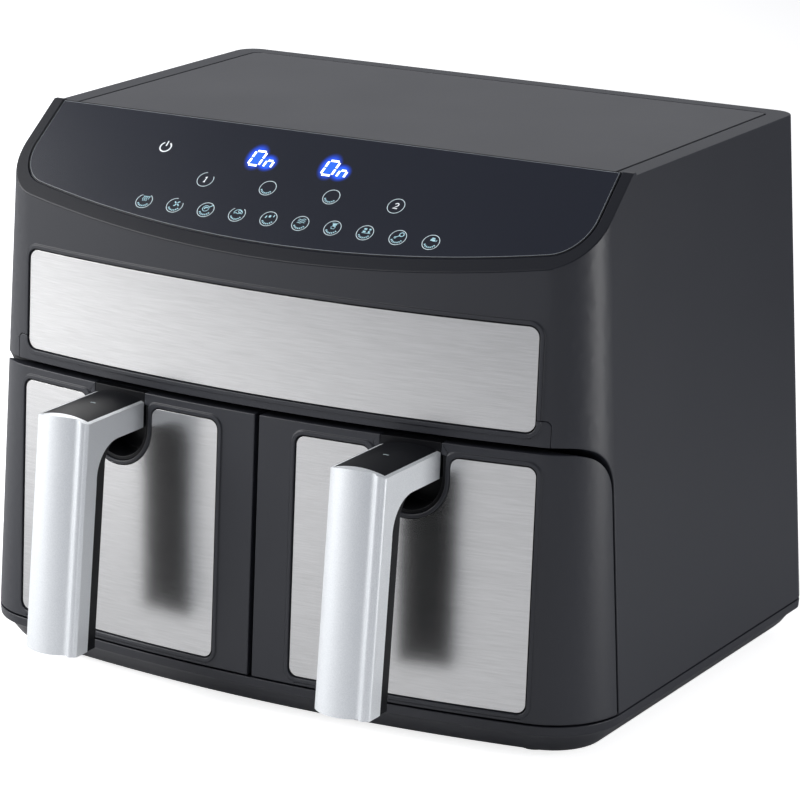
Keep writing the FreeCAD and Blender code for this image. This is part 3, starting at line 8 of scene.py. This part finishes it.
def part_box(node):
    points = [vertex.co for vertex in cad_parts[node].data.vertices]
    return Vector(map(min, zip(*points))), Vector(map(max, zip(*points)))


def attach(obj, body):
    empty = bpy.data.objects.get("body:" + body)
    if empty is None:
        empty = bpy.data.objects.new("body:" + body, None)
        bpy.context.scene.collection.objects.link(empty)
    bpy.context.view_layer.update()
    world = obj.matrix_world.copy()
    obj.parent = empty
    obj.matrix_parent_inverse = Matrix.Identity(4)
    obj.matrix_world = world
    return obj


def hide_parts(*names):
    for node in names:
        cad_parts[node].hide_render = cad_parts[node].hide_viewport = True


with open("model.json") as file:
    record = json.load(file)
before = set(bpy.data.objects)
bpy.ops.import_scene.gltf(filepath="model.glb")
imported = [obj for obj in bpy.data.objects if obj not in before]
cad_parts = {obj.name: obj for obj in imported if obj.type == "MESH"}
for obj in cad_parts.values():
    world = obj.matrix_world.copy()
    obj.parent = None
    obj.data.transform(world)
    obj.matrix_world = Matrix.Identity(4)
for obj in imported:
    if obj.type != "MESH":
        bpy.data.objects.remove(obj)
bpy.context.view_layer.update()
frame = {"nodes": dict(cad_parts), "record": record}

MM = 0.001
SIDES = ("left", "right")


# ---------------------------------------------------------------- shader expressions
class Signal:
    """A shader socket that can stand in a Python expression."""

    def __init__(self, finish, socket):
        self.finish = finish
        self.socket = socket

    def math(self, operation, *values):
        return self.finish.add("ShaderNodeMath", {"operation": operation}, dict(enumerate(values)))

    def __add__(self, other):
        return self.math("ADD", self, other)

    def __radd__(self, other):
        return self.math("ADD", other, self)

    def __sub__(self, other):
        return self.math("SUBTRACT", self, other)

    def __rsub__(self, other):
        return self.math("SUBTRACT", other, self)

    def __mul__(self, other):
        return self.math("MULTIPLY", self, other)

    def __rmul__(self, other):
        return self.math("MULTIPLY", other, self)


class Finish:
    """A material, its shader, and the nodes that feed it."""

    def __init__(self, name, **constants):
        self.material = bpy.data.materials.new(name)
        self.material.use_nodes = True
        self.tree = self.material.node_tree
        self.shader = self.tree.nodes["Principled BSDF"]
        for socket, value in constants.items():
            self.shader.inputs[socket].default_value = value

    def add(self, kind, settings=None, sockets=None, output=0):
        """Adds a node: its settings first, then the values or links of its sockets."""
        node = self.tree.nodes.new(kind)
        for name, value in (settings or {}).items():
            if name == "stops":
                ramp = node.color_ramp.elements
                for element, (position, color) in zip(ramp, value):
                    element.position, element.color = position, color
            else:
                setattr(node, name, value)
        for name, value in (sockets or {}).items():
            self.put(node.inputs[name], value)
        return Signal(self, node.outputs[output])

    def put(self, socket, value):
        if isinstance(value, Signal):
            self.tree.links.new(value.socket, socket)
        else:
            socket.default_value = value

    def feed(self, **values):
        for name, value in values.items():
            self.put(self.shader.inputs[name.replace("_", " ")], value)

    def place(self, stretch=(1, 1, 1)):
        """Object coordinates, stretched."""
        coordinates = self.add("ShaderNodeTexCoord", output="Object")
        return self.add("ShaderNodeMapping", sockets={"Vector": coordinates, "Scale": stretch})

    def noise(self, scale, detail=2.0, stretch=(1, 1, 1)):
        return self.add("ShaderNodeTexNoise", sockets={
            "Vector": self.place(stretch), "Scale": scale, "Detail": detail})

    def between(self, low, high, factor):
        """A colour on the way from one colour to another."""
        return self.add("ShaderNodeMix", {"data_type": "RGBA"}, {
            "Factor": factor, "A": (*low, 1), "B": (*high, 1)}, output="Result")

    def bump(self, height, distance):
        return self.add("ShaderNodeBump", sockets={"Height": height, "Distance": distance})


# ---------------------------------------------------------------- finishes
def moulded(name, low, high, roughness, grain=0.00001, grain_scale=2200, gloss=0.5):
    """Moulded plastic: an even fine grain, with faint clouding in colour and gloss."""
    finish = Finish(name, **{"IOR": 1.5, "Specular IOR Level": gloss})
    clouds = finish.noise(14, 3)
    finish.feed(
        Base_Color=finish.between(low, high, clouds),
        Roughness=clouds * 0.06 + (roughness - 0.03),
        Normal=finish.bump(finish.noise(grain_scale, 1), grain))
    return finish.material


def brushed_steel():
    """Sheet brushed from side to side: fine streaks in tone, gloss and height."""
    finish = Finish("brushed steel", Metallic=1.0)
    broad = finish.noise(1, 1, (45, 45, 1400))
    fine = finish.noise(1, 1, (100, 100, 2800))
    tone = (broad * 0.5 + fine * 0.5) * 2.4 - 0.7
    finish.feed(
        Base_Color=finish.between((0.53, 0.527, 0.525), (0.65, 0.647, 0.645), tone),
        Roughness=tone * 0.02 + 0.22,
        Normal=finish.bump(tone, 0.0000002))
    return finish.material


def silver_paint():
    """Satin silver paint with a fine metallic flake."""
    finish = Finish("silver paint", Metallic=0.55)
    flake = finish.noise(2300, 2)
    finish.feed(
        Base_Color=finish.between((0.73, 0.755, 0.775), (0.93, 0.950, 0.965), flake * 1.6 - 0.3),
        Roughness=finish.noise(30, 2) * 0.05 + 0.43,
        Normal=finish.bump(flake, 0.00001))
    return finish.material


def sheet_metal(name, low, high, roughness):
    finish = Finish(name, Metallic=1.0)
    blotches = finish.noise(60, 4)
    finish.feed(
        Base_Color=finish.between(low, high, blotches),
        Roughness=blotches * 0.12 + (roughness - 0.06),
        Normal=finish.bump(finish.noise(400, 2), 0.00001))
    return finish.material


def pan_coating():
    """Dark non-stick coating with pale specks."""
    finish = Finish("pan coating", IOR=1.45)
    cells = finish.add("ShaderNodeTexVoronoi", sockets={"Vector": finish.place(), "Scale": 520.0})
    specks = finish.add("ShaderNodeValToRGB", {
        "stops": [(0.10, (1, 1, 1, 1)), (0.16, (0, 0, 0, 1))]}, {"Fac": cells})
    finish.feed(
        Base_Color=finish.between((0.020, 0.020, 0.021), (0.09, 0.09, 0.09), specks),
        Roughness=finish.noise(120, 2) * 0.08 + 0.32,
        Normal=finish.bump(finish.noise(900, 2), 0.00002))
    return finish.material


def marking(name, color, strength):
    """A printed or lit mark on the glass, slightly uneven as a screen print is."""
    finish = Finish(name, **{"Roughness": 0.4, "Emission Strength": strength})
    unevenness = finish.noise(700, 2)
    worn = tuple(0.6 * c for c in color)
    tint = finish.between(worn, color, unevenness)
    finish.feed(Base_Color=tint, Emission_Color=tint)
    return finish.material


def panel_glass():
    """Black back-printed glass, with the blue light of the displays spreading in it."""
    finish = Finish("panel glass", **{"IOR": 1.52, "Emission Strength": 2.2})
    haze = finish.noise(9, 2)
    glow = None
    for start in DISPLAY_STARTS:
        for x, up, wide, high in HALOS:
            place = finish.add("ShaderNodeMapping", {"vector_type": "TEXTURE"}, {
                "Vector": finish.add("ShaderNodeTexCoord", output="Object"),
                "Location": on_panel(start + x, DISPLAY_UP + up),
                "Rotation": (PANEL_ANGLE, 0, 0), "Scale": (wide, high, 1)})
            ball = finish.add(
                "ShaderNodeTexGradient", {"gradient_type": "SPHERICAL"}, {"Vector": place}, output="Fac")
            glow = ball if glow is None else glow.math("MAXIMUM", glow, ball)
    spread = glow * 1.7
    spread = spread.math("MINIMUM", spread, 1.0)
    finish.feed(
        Base_Color=finish.between((0.002, 0.0040, 0.0125), (0.003, 0.0055, 0.0155), haze),
        Roughness=haze * 0.04 + 0.22,
        Emission_Color=finish.between((0, 0, 0), (0.010, 0.075, 0.75), spread.math("POWER", spread, 1.6)))
    return finish.material


# ---------------------------------------------------------------- the slanted panel
PANEL_ANGLE = math.radians(38.3)
GLASS_THICKNESS = 3 * MM
glass_low, glass_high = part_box("control_glass")
UP_PANEL = Vector((0, math.cos(PANEL_ANGLE), math.sin(PANEL_ANGLE)))
OUT_OF_PANEL = Vector((0, -math.sin(PANEL_ANGLE), math.cos(PANEL_ANGLE)))
PANEL_TOP_EDGE = Vector((0, glass_high[1] - GLASS_THICKNESS * math.sin(PANEL_ANGLE), glass_high[2]))
display_low, display_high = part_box("display_modules")
DISPLAY_WIDTH = 34 * MM
DISPLAY_STARTS = (display_low[0] + 1.0 * MM, display_high[0] - DISPLAY_WIDTH + 0.5 * MM)
PANEL_LENGTH = (glass_high[2] - glass_low[2]) / UP_PANEL.z
DISPLAY_UP = -22.5 * MM          # down from the glass's top edge
HALOS = ((3.4 * MM, 0.6 * MM, 7.4 * MM, 10.0 * MM), (11.2 * MM, -2.2 * MM, 7.0 * MM, 6.6 * MM))
KEY_PITCH = 19.65 * MM
KEY_UP = -61.0 * MM
KEY_SHIFT = 1.0 * MM             # the keys' middle, right of the body's
ZONE_UP = -41.2 * MM
ZONE_SHIFT = 0.5 * MM
POWER_PLACE = (-93.4 * MM, -23.2 * MM)


def on_panel(x, up, out=0.0):
    """A point on the glass: across, up its slope from the top edge, and out from its face."""
    return PANEL_TOP_EDGE + Vector((x, 0, 0)) + UP_PANEL * up + OUT_OF_PANEL * out


CHARCOAL = moulded("charcoal moulding", (0.0170, 0.0184, 0.0245), (0.0205, 0.0219, 0.0285), 0.46)
TRAY = moulded("base moulding", (0.0125, 0.0135, 0.0190), (0.0155, 0.0165, 0.0225), 0.40)
# a darker, less glossy copy of the charcoal moulding: painted shade for the rim round the glass
SHADED_RIM = moulded("rim moulding with painted shade", (0.0080, 0.0088, 0.0130), (0.0100, 0.0110, 0.0155), 0.34, gloss=0.25)
DECK = moulded("grained deck", (0.023, 0.024, 0.030), (0.030, 0.031, 0.037), 0.42, 0.00003, 1500)
BLACK = moulded(
    "black satin moulding", (0.005, 0.0052, 0.0065), (0.0075, 0.008, 0.0095), 0.36, 0.000004, gloss=0.2)
# a near-black sheet laid in gaps: painted shade where the steel sheets and the glass meet the moulding
GAP_SHADE = moulded("black sheet for painted shade", (0.003, 0.003, 0.0032), (0.0045, 0.0045, 0.005), 0.85)
RUBBER = moulded("foot rubber", (0.012, 0.012, 0.012), (0.017, 0.017, 0.017), 0.75, 0.00003)
CAP = moulded("cap moulding", (0.006, 0.0065, 0.0085), (0.009, 0.0095, 0.0115), 0.50, gloss=0.12)
SILICONE = moulded("grey silicone", (0.035, 0.035, 0.036), (0.045, 0.045, 0.046), 0.60, 0.00001)
BOARD = moulded("green circuit board", (0.006, 0.06, 0.02), (0.01, 0.10, 0.035), 0.45)
CHIP = moulded("black electronic part", (0.010, 0.010, 0.011), (0.014, 0.014, 0.015), 0.35)
STEEL = brushed_steel()
SILVER = silver_paint()
GLASS = panel_glass()
SHEET = sheet_metal("aluminised sheet", (0.48, 0.48, 0.49), (0.60, 0.60, 0.61), 0.36)
ELEMENT = sheet_metal("heat-darkened tube", (0.09, 0.08, 0.075), (0.16, 0.145, 0.13), 0.5)
MOTOR = sheet_metal("motor steel", (0.32, 0.32, 0.33), (0.42, 0.42, 0.43), 0.42)
SCREW = sheet_metal("zinc-plated screw", (0.50, 0.50, 0.51), (0.62, 0.62, 0.60), 0.32)
MAGNET = sheet_metal("magnet", (0.20, 0.20, 0.21), (0.28, 0.28, 0.29), 0.5)
SPRING = sheet_metal("gilt contact", (0.55, 0.38, 0.14), (0.70, 0.50, 0.20), 0.3)
COATING = pan_coating()
PRINT = marking("pale cyan print", (0.40, 0.65, 0.72), 0.42)
RING_PRINT = marking("pale grey print", (0.58, 0.69, 0.72), 0.62)
# pale grey for a bead just inside the glass's edge: the tone of a ground edge, brightened into a painted
# highlight along it
GROUND_EDGE_HIGHLIGHT = moulded("ground glass edge with painted highlight", (0.20, 0.22, 0.24), (0.28, 0.30, 0.32), 0.35)
WHITE_PRINT = marking("white print", (0.85, 0.88, 0.90), 0.5)
DIGIT = marking("lit digit", (0.90, 0.95, 1.0), 3.0)

SLOT_FINISH = {
    "shell": CHARCOAL, "tray": TRAY, "deck": DECK, "glass": GLASS, "steel": STEEL, "silver": SILVER,
    "black": BLACK, "coating": COATING, "sheet": SHEET, "element": ELEMENT, "can": MOTOR, "board": BOARD,
    "part": CHIP, "spring": SPRING, "rubber": RUBBER, "silicone": SILICONE, "screw": SCREW, "magnet": MAGNET,
}


def give(piece, material):
    piece.data.materials.clear()
    piece.data.materials.append(material)


slot_of = {entry["node"]: entry["material_slot"] for entry in frame["record"]["subparts"]}
body_of = {node: body for body, nodes in frame["record"]["behaviour"]["bodies"].items() for node in nodes}
for node, piece in frame["nodes"].items():
    give(piece, CAP if node.startswith("handle_cap") else SLOT_FINISH[slot_of[node]])


# ---------------------------------------------------------------- working on pieces
def only(piece):
    bpy.ops.object.select_all(action="DESELECT")
    piece.select_set(True)
    bpy.context.view_layer.objects.active = piece


def apply_modifier(piece, kind, **settings):
    modifier = piece.modifiers.new("shaping", kind)
    for name, value in settings.items():
        setattr(modifier, name, value)
    bpy.ops.object.modifier_apply(modifier=modifier.name)


def copied(node, name):
    """A copy of a node's mesh in a piece of its own, its loose triangles merged."""
    piece = bpy.data.objects.new(name, frame["nodes"][node].data.copy())
    bpy.context.scene.collection.objects.link(piece)
    only(piece)
    bpy.ops.object.mode_set(mode="EDIT")
    bpy.ops.mesh.select_all(action="SELECT")
    bpy.ops.mesh.remove_doubles(threshold=0.01 * MM)
    bpy.ops.mesh.dissolve_limited(angle_limit=math.radians(0.2))
    bpy.ops.mesh.customdata_custom_splitnormals_clear()
    bpy.ops.mesh.mark_sharp(clear=True)
    bpy.ops.object.mode_set(mode="OBJECT")
    bpy.ops.object.shade_smooth()
    return piece


def hold_to_surface(piece, node, reach):
    """Brings back any point that rounding a short edge threw further than `reach` off the node."""
    for vertex in piece.data.vertices:
        nearest = node.closest_point_on_mesh(vertex.co)[1]
        if (vertex.co - nearest).length > reach:
            vertex.co = nearest


def softened(node, width, segments=3, angle=25.0, smaller=0.0):
    """A copy of a moulded or pressed node with its edges rounded, which stands for that node."""
    piece = copied(node, node + "_finished")
    if smaller:
        low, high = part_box(node)
        middle = (Vector(low) + Vector(high)) / 2
        span = Vector(high) - Vector(low)
        bpy.ops.object.mode_set(mode="EDIT")
        bpy.ops.mesh.select_all(action="SELECT")
        narrower, shorter = (1 - 2 * smaller * MM / length for length in (span.x, span.z))
        bpy.ops.transform.resize(value=(narrower, 1, shorter), center_override=middle)
        bpy.ops.object.mode_set(mode="OBJECT")
    apply_modifier(piece, "BEVEL", width=width * MM, segments=segments, limit_method="ANGLE",
                   angle_limit=math.radians(angle), miter_outer="MITER_ARC", use_clamp_overlap=False)
    hold_to_surface(piece, frame["nodes"][node], (width + smaller) * MM)
    apply_modifier(piece, "WEIGHTED_NORMAL", mode="FACE_AREA", weight=100, keep_sharp=False)
    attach(piece, body_of[node])
    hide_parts(node)
    return piece


def gap_shade_behind(node, name, depth):
    """A near-black sheet behind a steel sheet, showing as a dark line round it: painted shade in the recess
    between the sheet and the moulding.
    """
    piece = copied(node, name)
    bpy.ops.object.mode_set(mode="EDIT")
    bpy.ops.mesh.select_all(action="SELECT")
    bpy.ops.transform.translate(value=(0, depth * MM, 0))
    bpy.ops.object.mode_set(mode="OBJECT")
    give(piece, GAP_SHADE)
    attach(piece, body_of[node])


SHEET_MARGIN = 0.5               # mm that a steel sheet is narrowed on each side, baring the painted shade behind it
GAP_SHADE_DEPTH = 0.4                 # mm from a steel sheet back to the painted shade behind it
EDGE_ROUNDING = {
    "outer_shell": 0.6, "lower_trim": 0.4, "top_plate": 0.5, "control_glass": 0.5, "steel_strip": 0.15,
    "base_tray": 0.5, "rear_cover": 0.5, "cord_gland": 0.5,
}
for side in SIDES:
    EDGE_ROUNDING.update({
        "drawer_front_" + side: 0.6, "drawer_inlay_" + side: 0.15,
        "handle_liner_" + side: 0.25, "handle_cap_" + side: 0.2, "handle_socket_" + side: 0.3,
    })
for node, width in EDGE_ROUNDING.items():
    softened(node, width, smaller=SHEET_MARGIN if slot_of[node] == "steel" else 0.0)

# the rim round the glass, whose faces and edges lie near the panel's slope, takes a darker, less glossy copy
# of the shell's moulding: painted shade on the faces that look out of the panel
SHADED_RIM_FACING = 0.75                # how nearly a face looks out of the panel, 1 being straight out
SHADED_RIM_DEPTH = 8 * MM               # how far below the glass's face the rim reaches
shell = bpy.data.objects["outer_shell_finished"]
shell.data.materials.append(SHADED_RIM)
shaded_rim_start = PANEL_TOP_EDGE.dot(OUT_OF_PANEL) - SHADED_RIM_DEPTH
for face in shell.data.polygons:
    if face.normal.dot(OUT_OF_PANEL) > SHADED_RIM_FACING and face.center.dot(OUT_OF_PANEL) > shaded_rim_start:
        face.material_index = 1

# dark sheets behind the steel strip and the inlays: painted shade in the gaps round them
gap_shade_behind("steel_strip", "strip_gap_shade", GAP_SHADE_DEPTH)
for side in SIDES:
    gap_shade_behind("drawer_inlay_" + side, "inlay_seal_" + side, GAP_SHADE_DEPTH)


# ---------------------------------------------------------------- marks on the glass
def arc(radius, start, end, x=0.0, y=0.0, steps=20):
    turns = [math.radians(start + (end - start) * i / steps) for i in range(steps + 1)]
    return [(x + radius * math.cos(t), y + radius * math.sin(t)) for t in turns]


def panel_place(x, up):
    """From a flat drawing in millimetres to the glass, thinned to a film."""
    axes = Matrix.Identity(3)
    axes.col[1], axes.col[2] = UP_PANEL, OUT_OF_PANEL
    return Matrix.Translation(on_panel(x, up)) @ axes.to_4x4() @ Matrix.Diagonal((MM, MM, 0.08 * MM, 1))


def laid(piece, place, material, body):
    piece.matrix_world = place
    only(piece)
    bpy.ops.object.transform_apply()
    give(piece, material)
    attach(piece, body)
    return piece


def printed(name, strokes, place, material, body="housing"):
    """Flat strokes, each a width and its line in millimetres, laid at a place."""
    curve = bpy.data.curves.new(name, "CURVE")
    curve.dimensions = "3D"
    curve.bevel_depth = 0.5
    curve.bevel_resolution = 2
    curve.use_fill_caps = True
    for width, points in strokes:
        spline = curve.splines.new("POLY")
        spline.points.add(len(points) - 1)
        for point, (x, y) in zip(spline.points, points):
            point.co = (x, y, 0, 1)
            point.radius = width
    piece = bpy.data.objects.new(name, curve)
    bpy.context.scene.collection.objects.link(piece)
    only(piece)
    bpy.ops.object.convert(target="MESH")
    return laid(piece, place, material, body)


def blade(turn):
    c, s = math.cos(turn), math.sin(turn)
    points = ((0.3, 0.3), (0.7, 1.3), (1.5, 1.5))
    return [(0.7 + px * c - py * s, 1.2 + px * s + py * c) for px, py in points]


def wave(x, low, high, sway=0.35):
    return [(x + sway * math.sin(i * math.pi / 3), low + (high - low) * i / 9) for i in range(10)]


def ripple(y):
    return [(-2.2 + i * 0.5, y + 0.1 * i + 0.4 * math.sin(i * math.pi / 2.5)) for i in range(10)]


RING_RADIUS = 4.8                # these four in millimetres, as the drawings are
RING_STROKE = 0.36
KEY_BAND_RADIUS = 3.35
ZONE_BAND_RADIUS = 3.45


def ring(start=0, end=360):
    return [(RING_STROKE, arc(RING_RADIUS, start, end, steps=40))]


def band(radius, start):
    """A row of short dashes round the foot of a ring."""
    return [(1.0, arc(radius, start + 19 * i, start + 19 * i + 11, steps=4)) for i in range(7)]


PICTURES = [
    [(0.35, [(-1.9, 3.2), (2.6, 3.2)])]
    + [(0.35, wave(x, 0.0, 3.0)) for x in (-1.4, -0.3, 0.8)]
    + [(0.35, [(2.0, 3.0), (1.9, 1.2)])],
    [(0.71, blade(i * math.pi / 2)) for i in range(4)],
    [(0.35, arc(1.9, 0, 360, -0.4, 0.9)), (0.76, arc(0.8, 20, 220, -0.3, 0.9)),
     (0.59, [(1.2, 2.0), (3.1, 3.5)])],
    [(0.42, arc(2.6, 10, 170, 0.2, 0.6)),
     (0.42, [(-2.3, 0.5), (-0.9, 1.0), (0.2, 0.4), (1.4, 1.0), (2.7, 0.6)]),
     (0.42, arc(0.8, 0, 360, 0.9, 2.1))],
    [(1.26, [(0.0, 1.0), (0.4, 2.4)]), (0.59, [(-2.2, 0.3), (-1.8, 1.9)]), (0.59, [(2.3, 1.4), (2.6, 3.0)])],
    [(0.35, ripple(0.1)), (0.35, ripple(1.2)), (0.35, ripple(2.3))],
    [(0.84, [(-0.7, 1.5), (1.2, 1.5)]), (0.84, [(-0.9, 2.5), (1.6, 2.5)]), (0.35, [(-1.5, 3.3), (2.2, 3.3)]),
     (0.35, [(-1.2, 1.0), (-0.8, -0.4), (0.9, -0.4), (1.3, 1.0)])],
    [(1.13, [(-1.7, 0.8), (0.0, 0.8)]), (1.13, [(1.4, 0.8), (2.6, 0.8)]),
     (1.13, [(-1.5, 2.5), (0.2, 2.5)]), (1.13, [(1.6, 2.5), (2.8, 2.5)]),
     (0.3, [(-2.0, -0.1), (3.2, -0.1)])],
    [(0.5, arc(1.25, 0, 360, 1.5, 2.2)), (0.5, [(0.4, 1.3), (-1.3, 0.1)]),
     (0.42, arc(0.5, 0, 360, -1.6, -0.1))],
    [(1.26, [(-0.9, 1.7), (1.9, 1.3)]), (0.92, [(-0.4, 2.7), (1.4, 2.6)]), (0.42, [(2.4, 0.6), (2.9, 1.9)])],
]
OPEN_RINGS = {0: (122, 420), 1: (90, 388), 3: (128, 415)}    # start and end in degrees, by key
for i, picture in enumerate(PICTURES):
    place = panel_place((i - (len(PICTURES) - 1) / 2) * KEY_PITCH + KEY_SHIFT, KEY_UP)
    name = "program_key_%d" % (i + 1)
    printed(name + "_ring", ring(*OPEN_RINGS.get(i, (0, 360))), place, RING_PRINT)
    printed(name + "_band", band(KEY_BAND_RADIUS, 207), place, PRINT)
    printed(name + "_picture", picture, place, PRINT)

ONE = [(0.6, [(-0.6, -2.0), (0.9, -2.0)]), (0.6, [(0.15, -2.0), (0.15, 2.2)]),
       (0.5, [(0.1, 2.1), (-0.9, 1.4)])]
TWO = [(0.6, arc(1.25, 165, -35, 0, 0.95)),
       (0.6, [(1.02, 0.25), (-1.3, -2.0), (1.4, -2.0), (1.5, -1.5)])]
SLANT = 0.12                     # how far a numeral leans right, per mm of height
NUMBER_SIZE = 0.85
DIGIT_STROKE = 1.25
DIGIT_HEIGHT = 0.93              # of the height drawn
DIGIT_MIDDLE = 5.3               # the drawn digits' middle, up from their foot
DIGIT_SHIFT = 0.4
for i, step in enumerate((-3, -1, 1, 3)):
    place = panel_place(step * KEY_PITCH + ZONE_SHIFT, ZONE_UP)
    name = "zone_key_%d" % (i + 1)
    printed(name + "_ring", ring(*((100, 392) if i == 0 else (0, 360))), place, RING_PRINT)
    if abs(step) == 1:
        printed(name + "_band", band(ZONE_BAND_RADIUS, 200), place, PRINT)
    else:
        number = [
            (width, [(NUMBER_SIZE * x + SLANT * y, NUMBER_SIZE * y) for x, y in line])
            for width, line in (ONE if step < 0 else TWO)]
        printed(name + "_number", number, place, WHITE_PRINT)

printed("power_mark", [(0.85, arc(3.3, 122, 418, steps=36)), (0.85, [(0, 0.6), (0, 4.2)])],
        panel_place(*POWER_PLACE), WHITE_PRINT)

ZERO = [[(0.8, 0), (5.8, 0)], [(0.8, 10.6), (5.8, 10.6)], [(0, 0.8), (0, 4.8)], [(0, 5.8), (0, 9.8)],
        [(6.6, 0.8), (6.6, 4.8)], [(6.6, 5.8), (6.6, 9.8)]]
N = [[(9.8, 0.2), (9.8, 4.1)], [(10.6, 4.7), (13.4, 4.7)], [(14.2, 4.1), (14.2, 0.2)]]
for side, x in zip(SIDES, DISPLAY_STARTS):
    digits = [
        (DIGIT_STROKE, [
            (px + SLANT * py + DIGIT_SHIFT, DIGIT_HEIGHT * (py - DIGIT_MIDDLE)) for px, py in stroke])
        for stroke in ZERO + N]
    printed("digits_" + side, digits, panel_place(x - 0.3 * MM, DISPLAY_UP), DIGIT)

for side in SIDES:
    low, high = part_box("handle_cap_" + side)
    place = (Matrix.Translation(((low[0] + high[0]) / 2, (low[1] + high[1]) / 2, high[2]))
             @ Matrix.Diagonal((MM, MM, 0.1 * MM, 1)))
    # the dash takes the pale grey print, which gives off light of its own: a painted glow on the cap, which
    # holds no lamp
    dash = [(0.45, [(-1.6, 0), (1.6, 0)])]
    printed("cap_mark_" + side, dash, place, RING_PRINT, body_of["handle_cap_" + side])


def edge_bead(name, radius, inset, sunk, material):
    """A round bead all round the glass, just inside its edge and sunk into its face."""
    piece = copied("control_glass", name)
    bpy.ops.object.mode_set(mode="EDIT")
    bpy.ops.mesh.select_mode(type="FACE")
    bpy.ops.mesh.select_all(action="DESELECT")
    bpy.ops.object.mode_set(mode="OBJECT")
    for face in piece.data.polygons:
        face.select = face.normal.dot(OUT_OF_PANEL) > 0.99
    bpy.ops.object.mode_set(mode="EDIT")
    bpy.ops.mesh.region_to_loop()
    bpy.ops.mesh.duplicate()
    bpy.ops.mesh.select_all(action="INVERT")
    bpy.ops.mesh.delete(type="VERT")
    bpy.ops.mesh.select_all(action="SELECT")
    narrower = 1 - 2 * inset / (glass_high[0] - glass_low[0])
    shorter = 1 - 2 * inset / PANEL_LENGTH
    bpy.ops.transform.resize(
        value=(narrower, shorter, shorter), center_override=on_panel(0, -PANEL_LENGTH / 2))
    bpy.ops.transform.translate(value=OUT_OF_PANEL * -sunk)
    bpy.ops.object.mode_set(mode="OBJECT")
    bpy.ops.object.convert(target="CURVE")
    piece = bpy.context.object
    piece.data.bevel_depth = radius
    piece.data.bevel_resolution = 2
    bpy.ops.object.convert(target="MESH")
    piece = bpy.context.object
    give(piece, material)
    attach(piece, "housing")


# a black bead round the glass: painted shade in the gap between the glass and the moulding
edge_bead("glass_gap_shade", 0.35 * MM, 0.36 * MM, 0.20 * MM, GAP_SHADE)
# a pale bead just inside the glass's edge: painted highlight, standing for the light that its ground edge
# catches
edge_bead("glass_edge_highlight", 0.2 * MM, 0.9 * MM, 0.05 * MM, GROUND_EDGE_HIGHLIGHT)


# ---------------------------------------------------------------- stage, light, camera
def add_floor():
    bpy.ops.object.select_all(action="DESELECT")
    bpy.ops.mesh.primitive_plane_add(size=30, location=(0, 8, 0))
    floor = bpy.context.object
    floor.name = "floor"
    bpy.ops.object.transform_apply()
    finish = Finish("white floor", **{"Roughness": 0.9, "Specular IOR Level": 0.0})
    place = finish.add("ShaderNodeTexCoord", output="Object")
    right, back = (
        finish.add("ShaderNodeSeparateXYZ", sockets={"Vector": place}, output=axis) for axis in "XY")
    # the floor's colour darkens from front left to back right: painted shade, the falloff of the light
    # across the floor, which the object's sides reflect
    painted_falloff = (right + back) * 0.75 - 0.05 + finish.noise(3, 2) * 0.02
    finish.feed(Base_Color=finish.between((0.90, 0.90, 0.90), (0.30, 0.30, 0.31), painted_falloff))
    matt = Signal(finish, finish.shader.outputs[0])
    lift = finish.add("ShaderNodeEmission", sockets={"Color": (1, 1, 1, 1), "Strength": 0.8})
    lifted = finish.add("ShaderNodeAddShader", sockets={0: matt, 1: lift})
    seen = finish.add("ShaderNodeLightPath", output="Is Camera Ray")
    mixed = finish.add("ShaderNodeMixShader", sockets={0: seen, 1: matt, 2: lifted})
    finish.put(finish.tree.nodes["Material Output"].inputs["Surface"], mixed)
    give(floor, finish.material)


def add_world():
    world = bpy.data.worlds.new("studio")
    bpy.context.scene.world = world
    world.use_nodes = True
    background = world.node_tree.nodes["Background"]
    background.inputs["Color"].default_value = (0.335, 0.345, 0.375, 1)
    background.inputs["Strength"].default_value = 1.0


def add_softbox(name, place, target, width, height, power):
    bpy.ops.object.light_add(type="AREA", location=place)
    lamp = bpy.context.object
    lamp.name = name
    lamp.data.shape = "RECTANGLE"
    lamp.data.size, lamp.data.size_y = width, height
    lamp.data.energy = power
    lamp.visible_camera = False
    lamp.rotation_euler = (Vector(target) - Vector(place)).to_track_quat("-Z", "Y").to_euler()


def add_camera():
    data = bpy.data.cameras.new("camera")
    camera = bpy.data.objects.new("camera", data)
    bpy.context.scene.collection.objects.link(camera)
    bpy.context.scene.camera = camera
    data.lens = 168.49
    data.clip_end = 100
    turn = Matrix.Rotation(math.radians(30.541), 4, "Z")
    tilt = Matrix.Rotation(math.radians(90 - 15.754), 4, "X")
    roll = Matrix.Rotation(math.radians(0.52), 4, "Z")
    camera.matrix_world = Matrix.Translation((1.02095, -1.69181, 0.70387)) @ turn @ tilt @ roll


add_floor()
add_world()
add_softbox("key softbox", (-1.55, -0.78, 1.28), (0, 0, 0.15), 1.6, 1.4, 40)
add_softbox("left strip light", (-1.50, -0.75, 0.55), (-0.15, -0.10, 0.15), 0.9, 0.8, 3.6)
add_softbox("back left softbox", (-1.25, 2.00, 1.00), (0, 0.05, 0.30), 1.6, 1.2, 1.9)
add_softbox("right strip light", (1.00, 0.16, 0.20), (0.19, -0.08, 0.14), 0.3, 0.35, 3.4)
add_camera()
bpy.context.scene.view_settings.view_transform = "Standard"
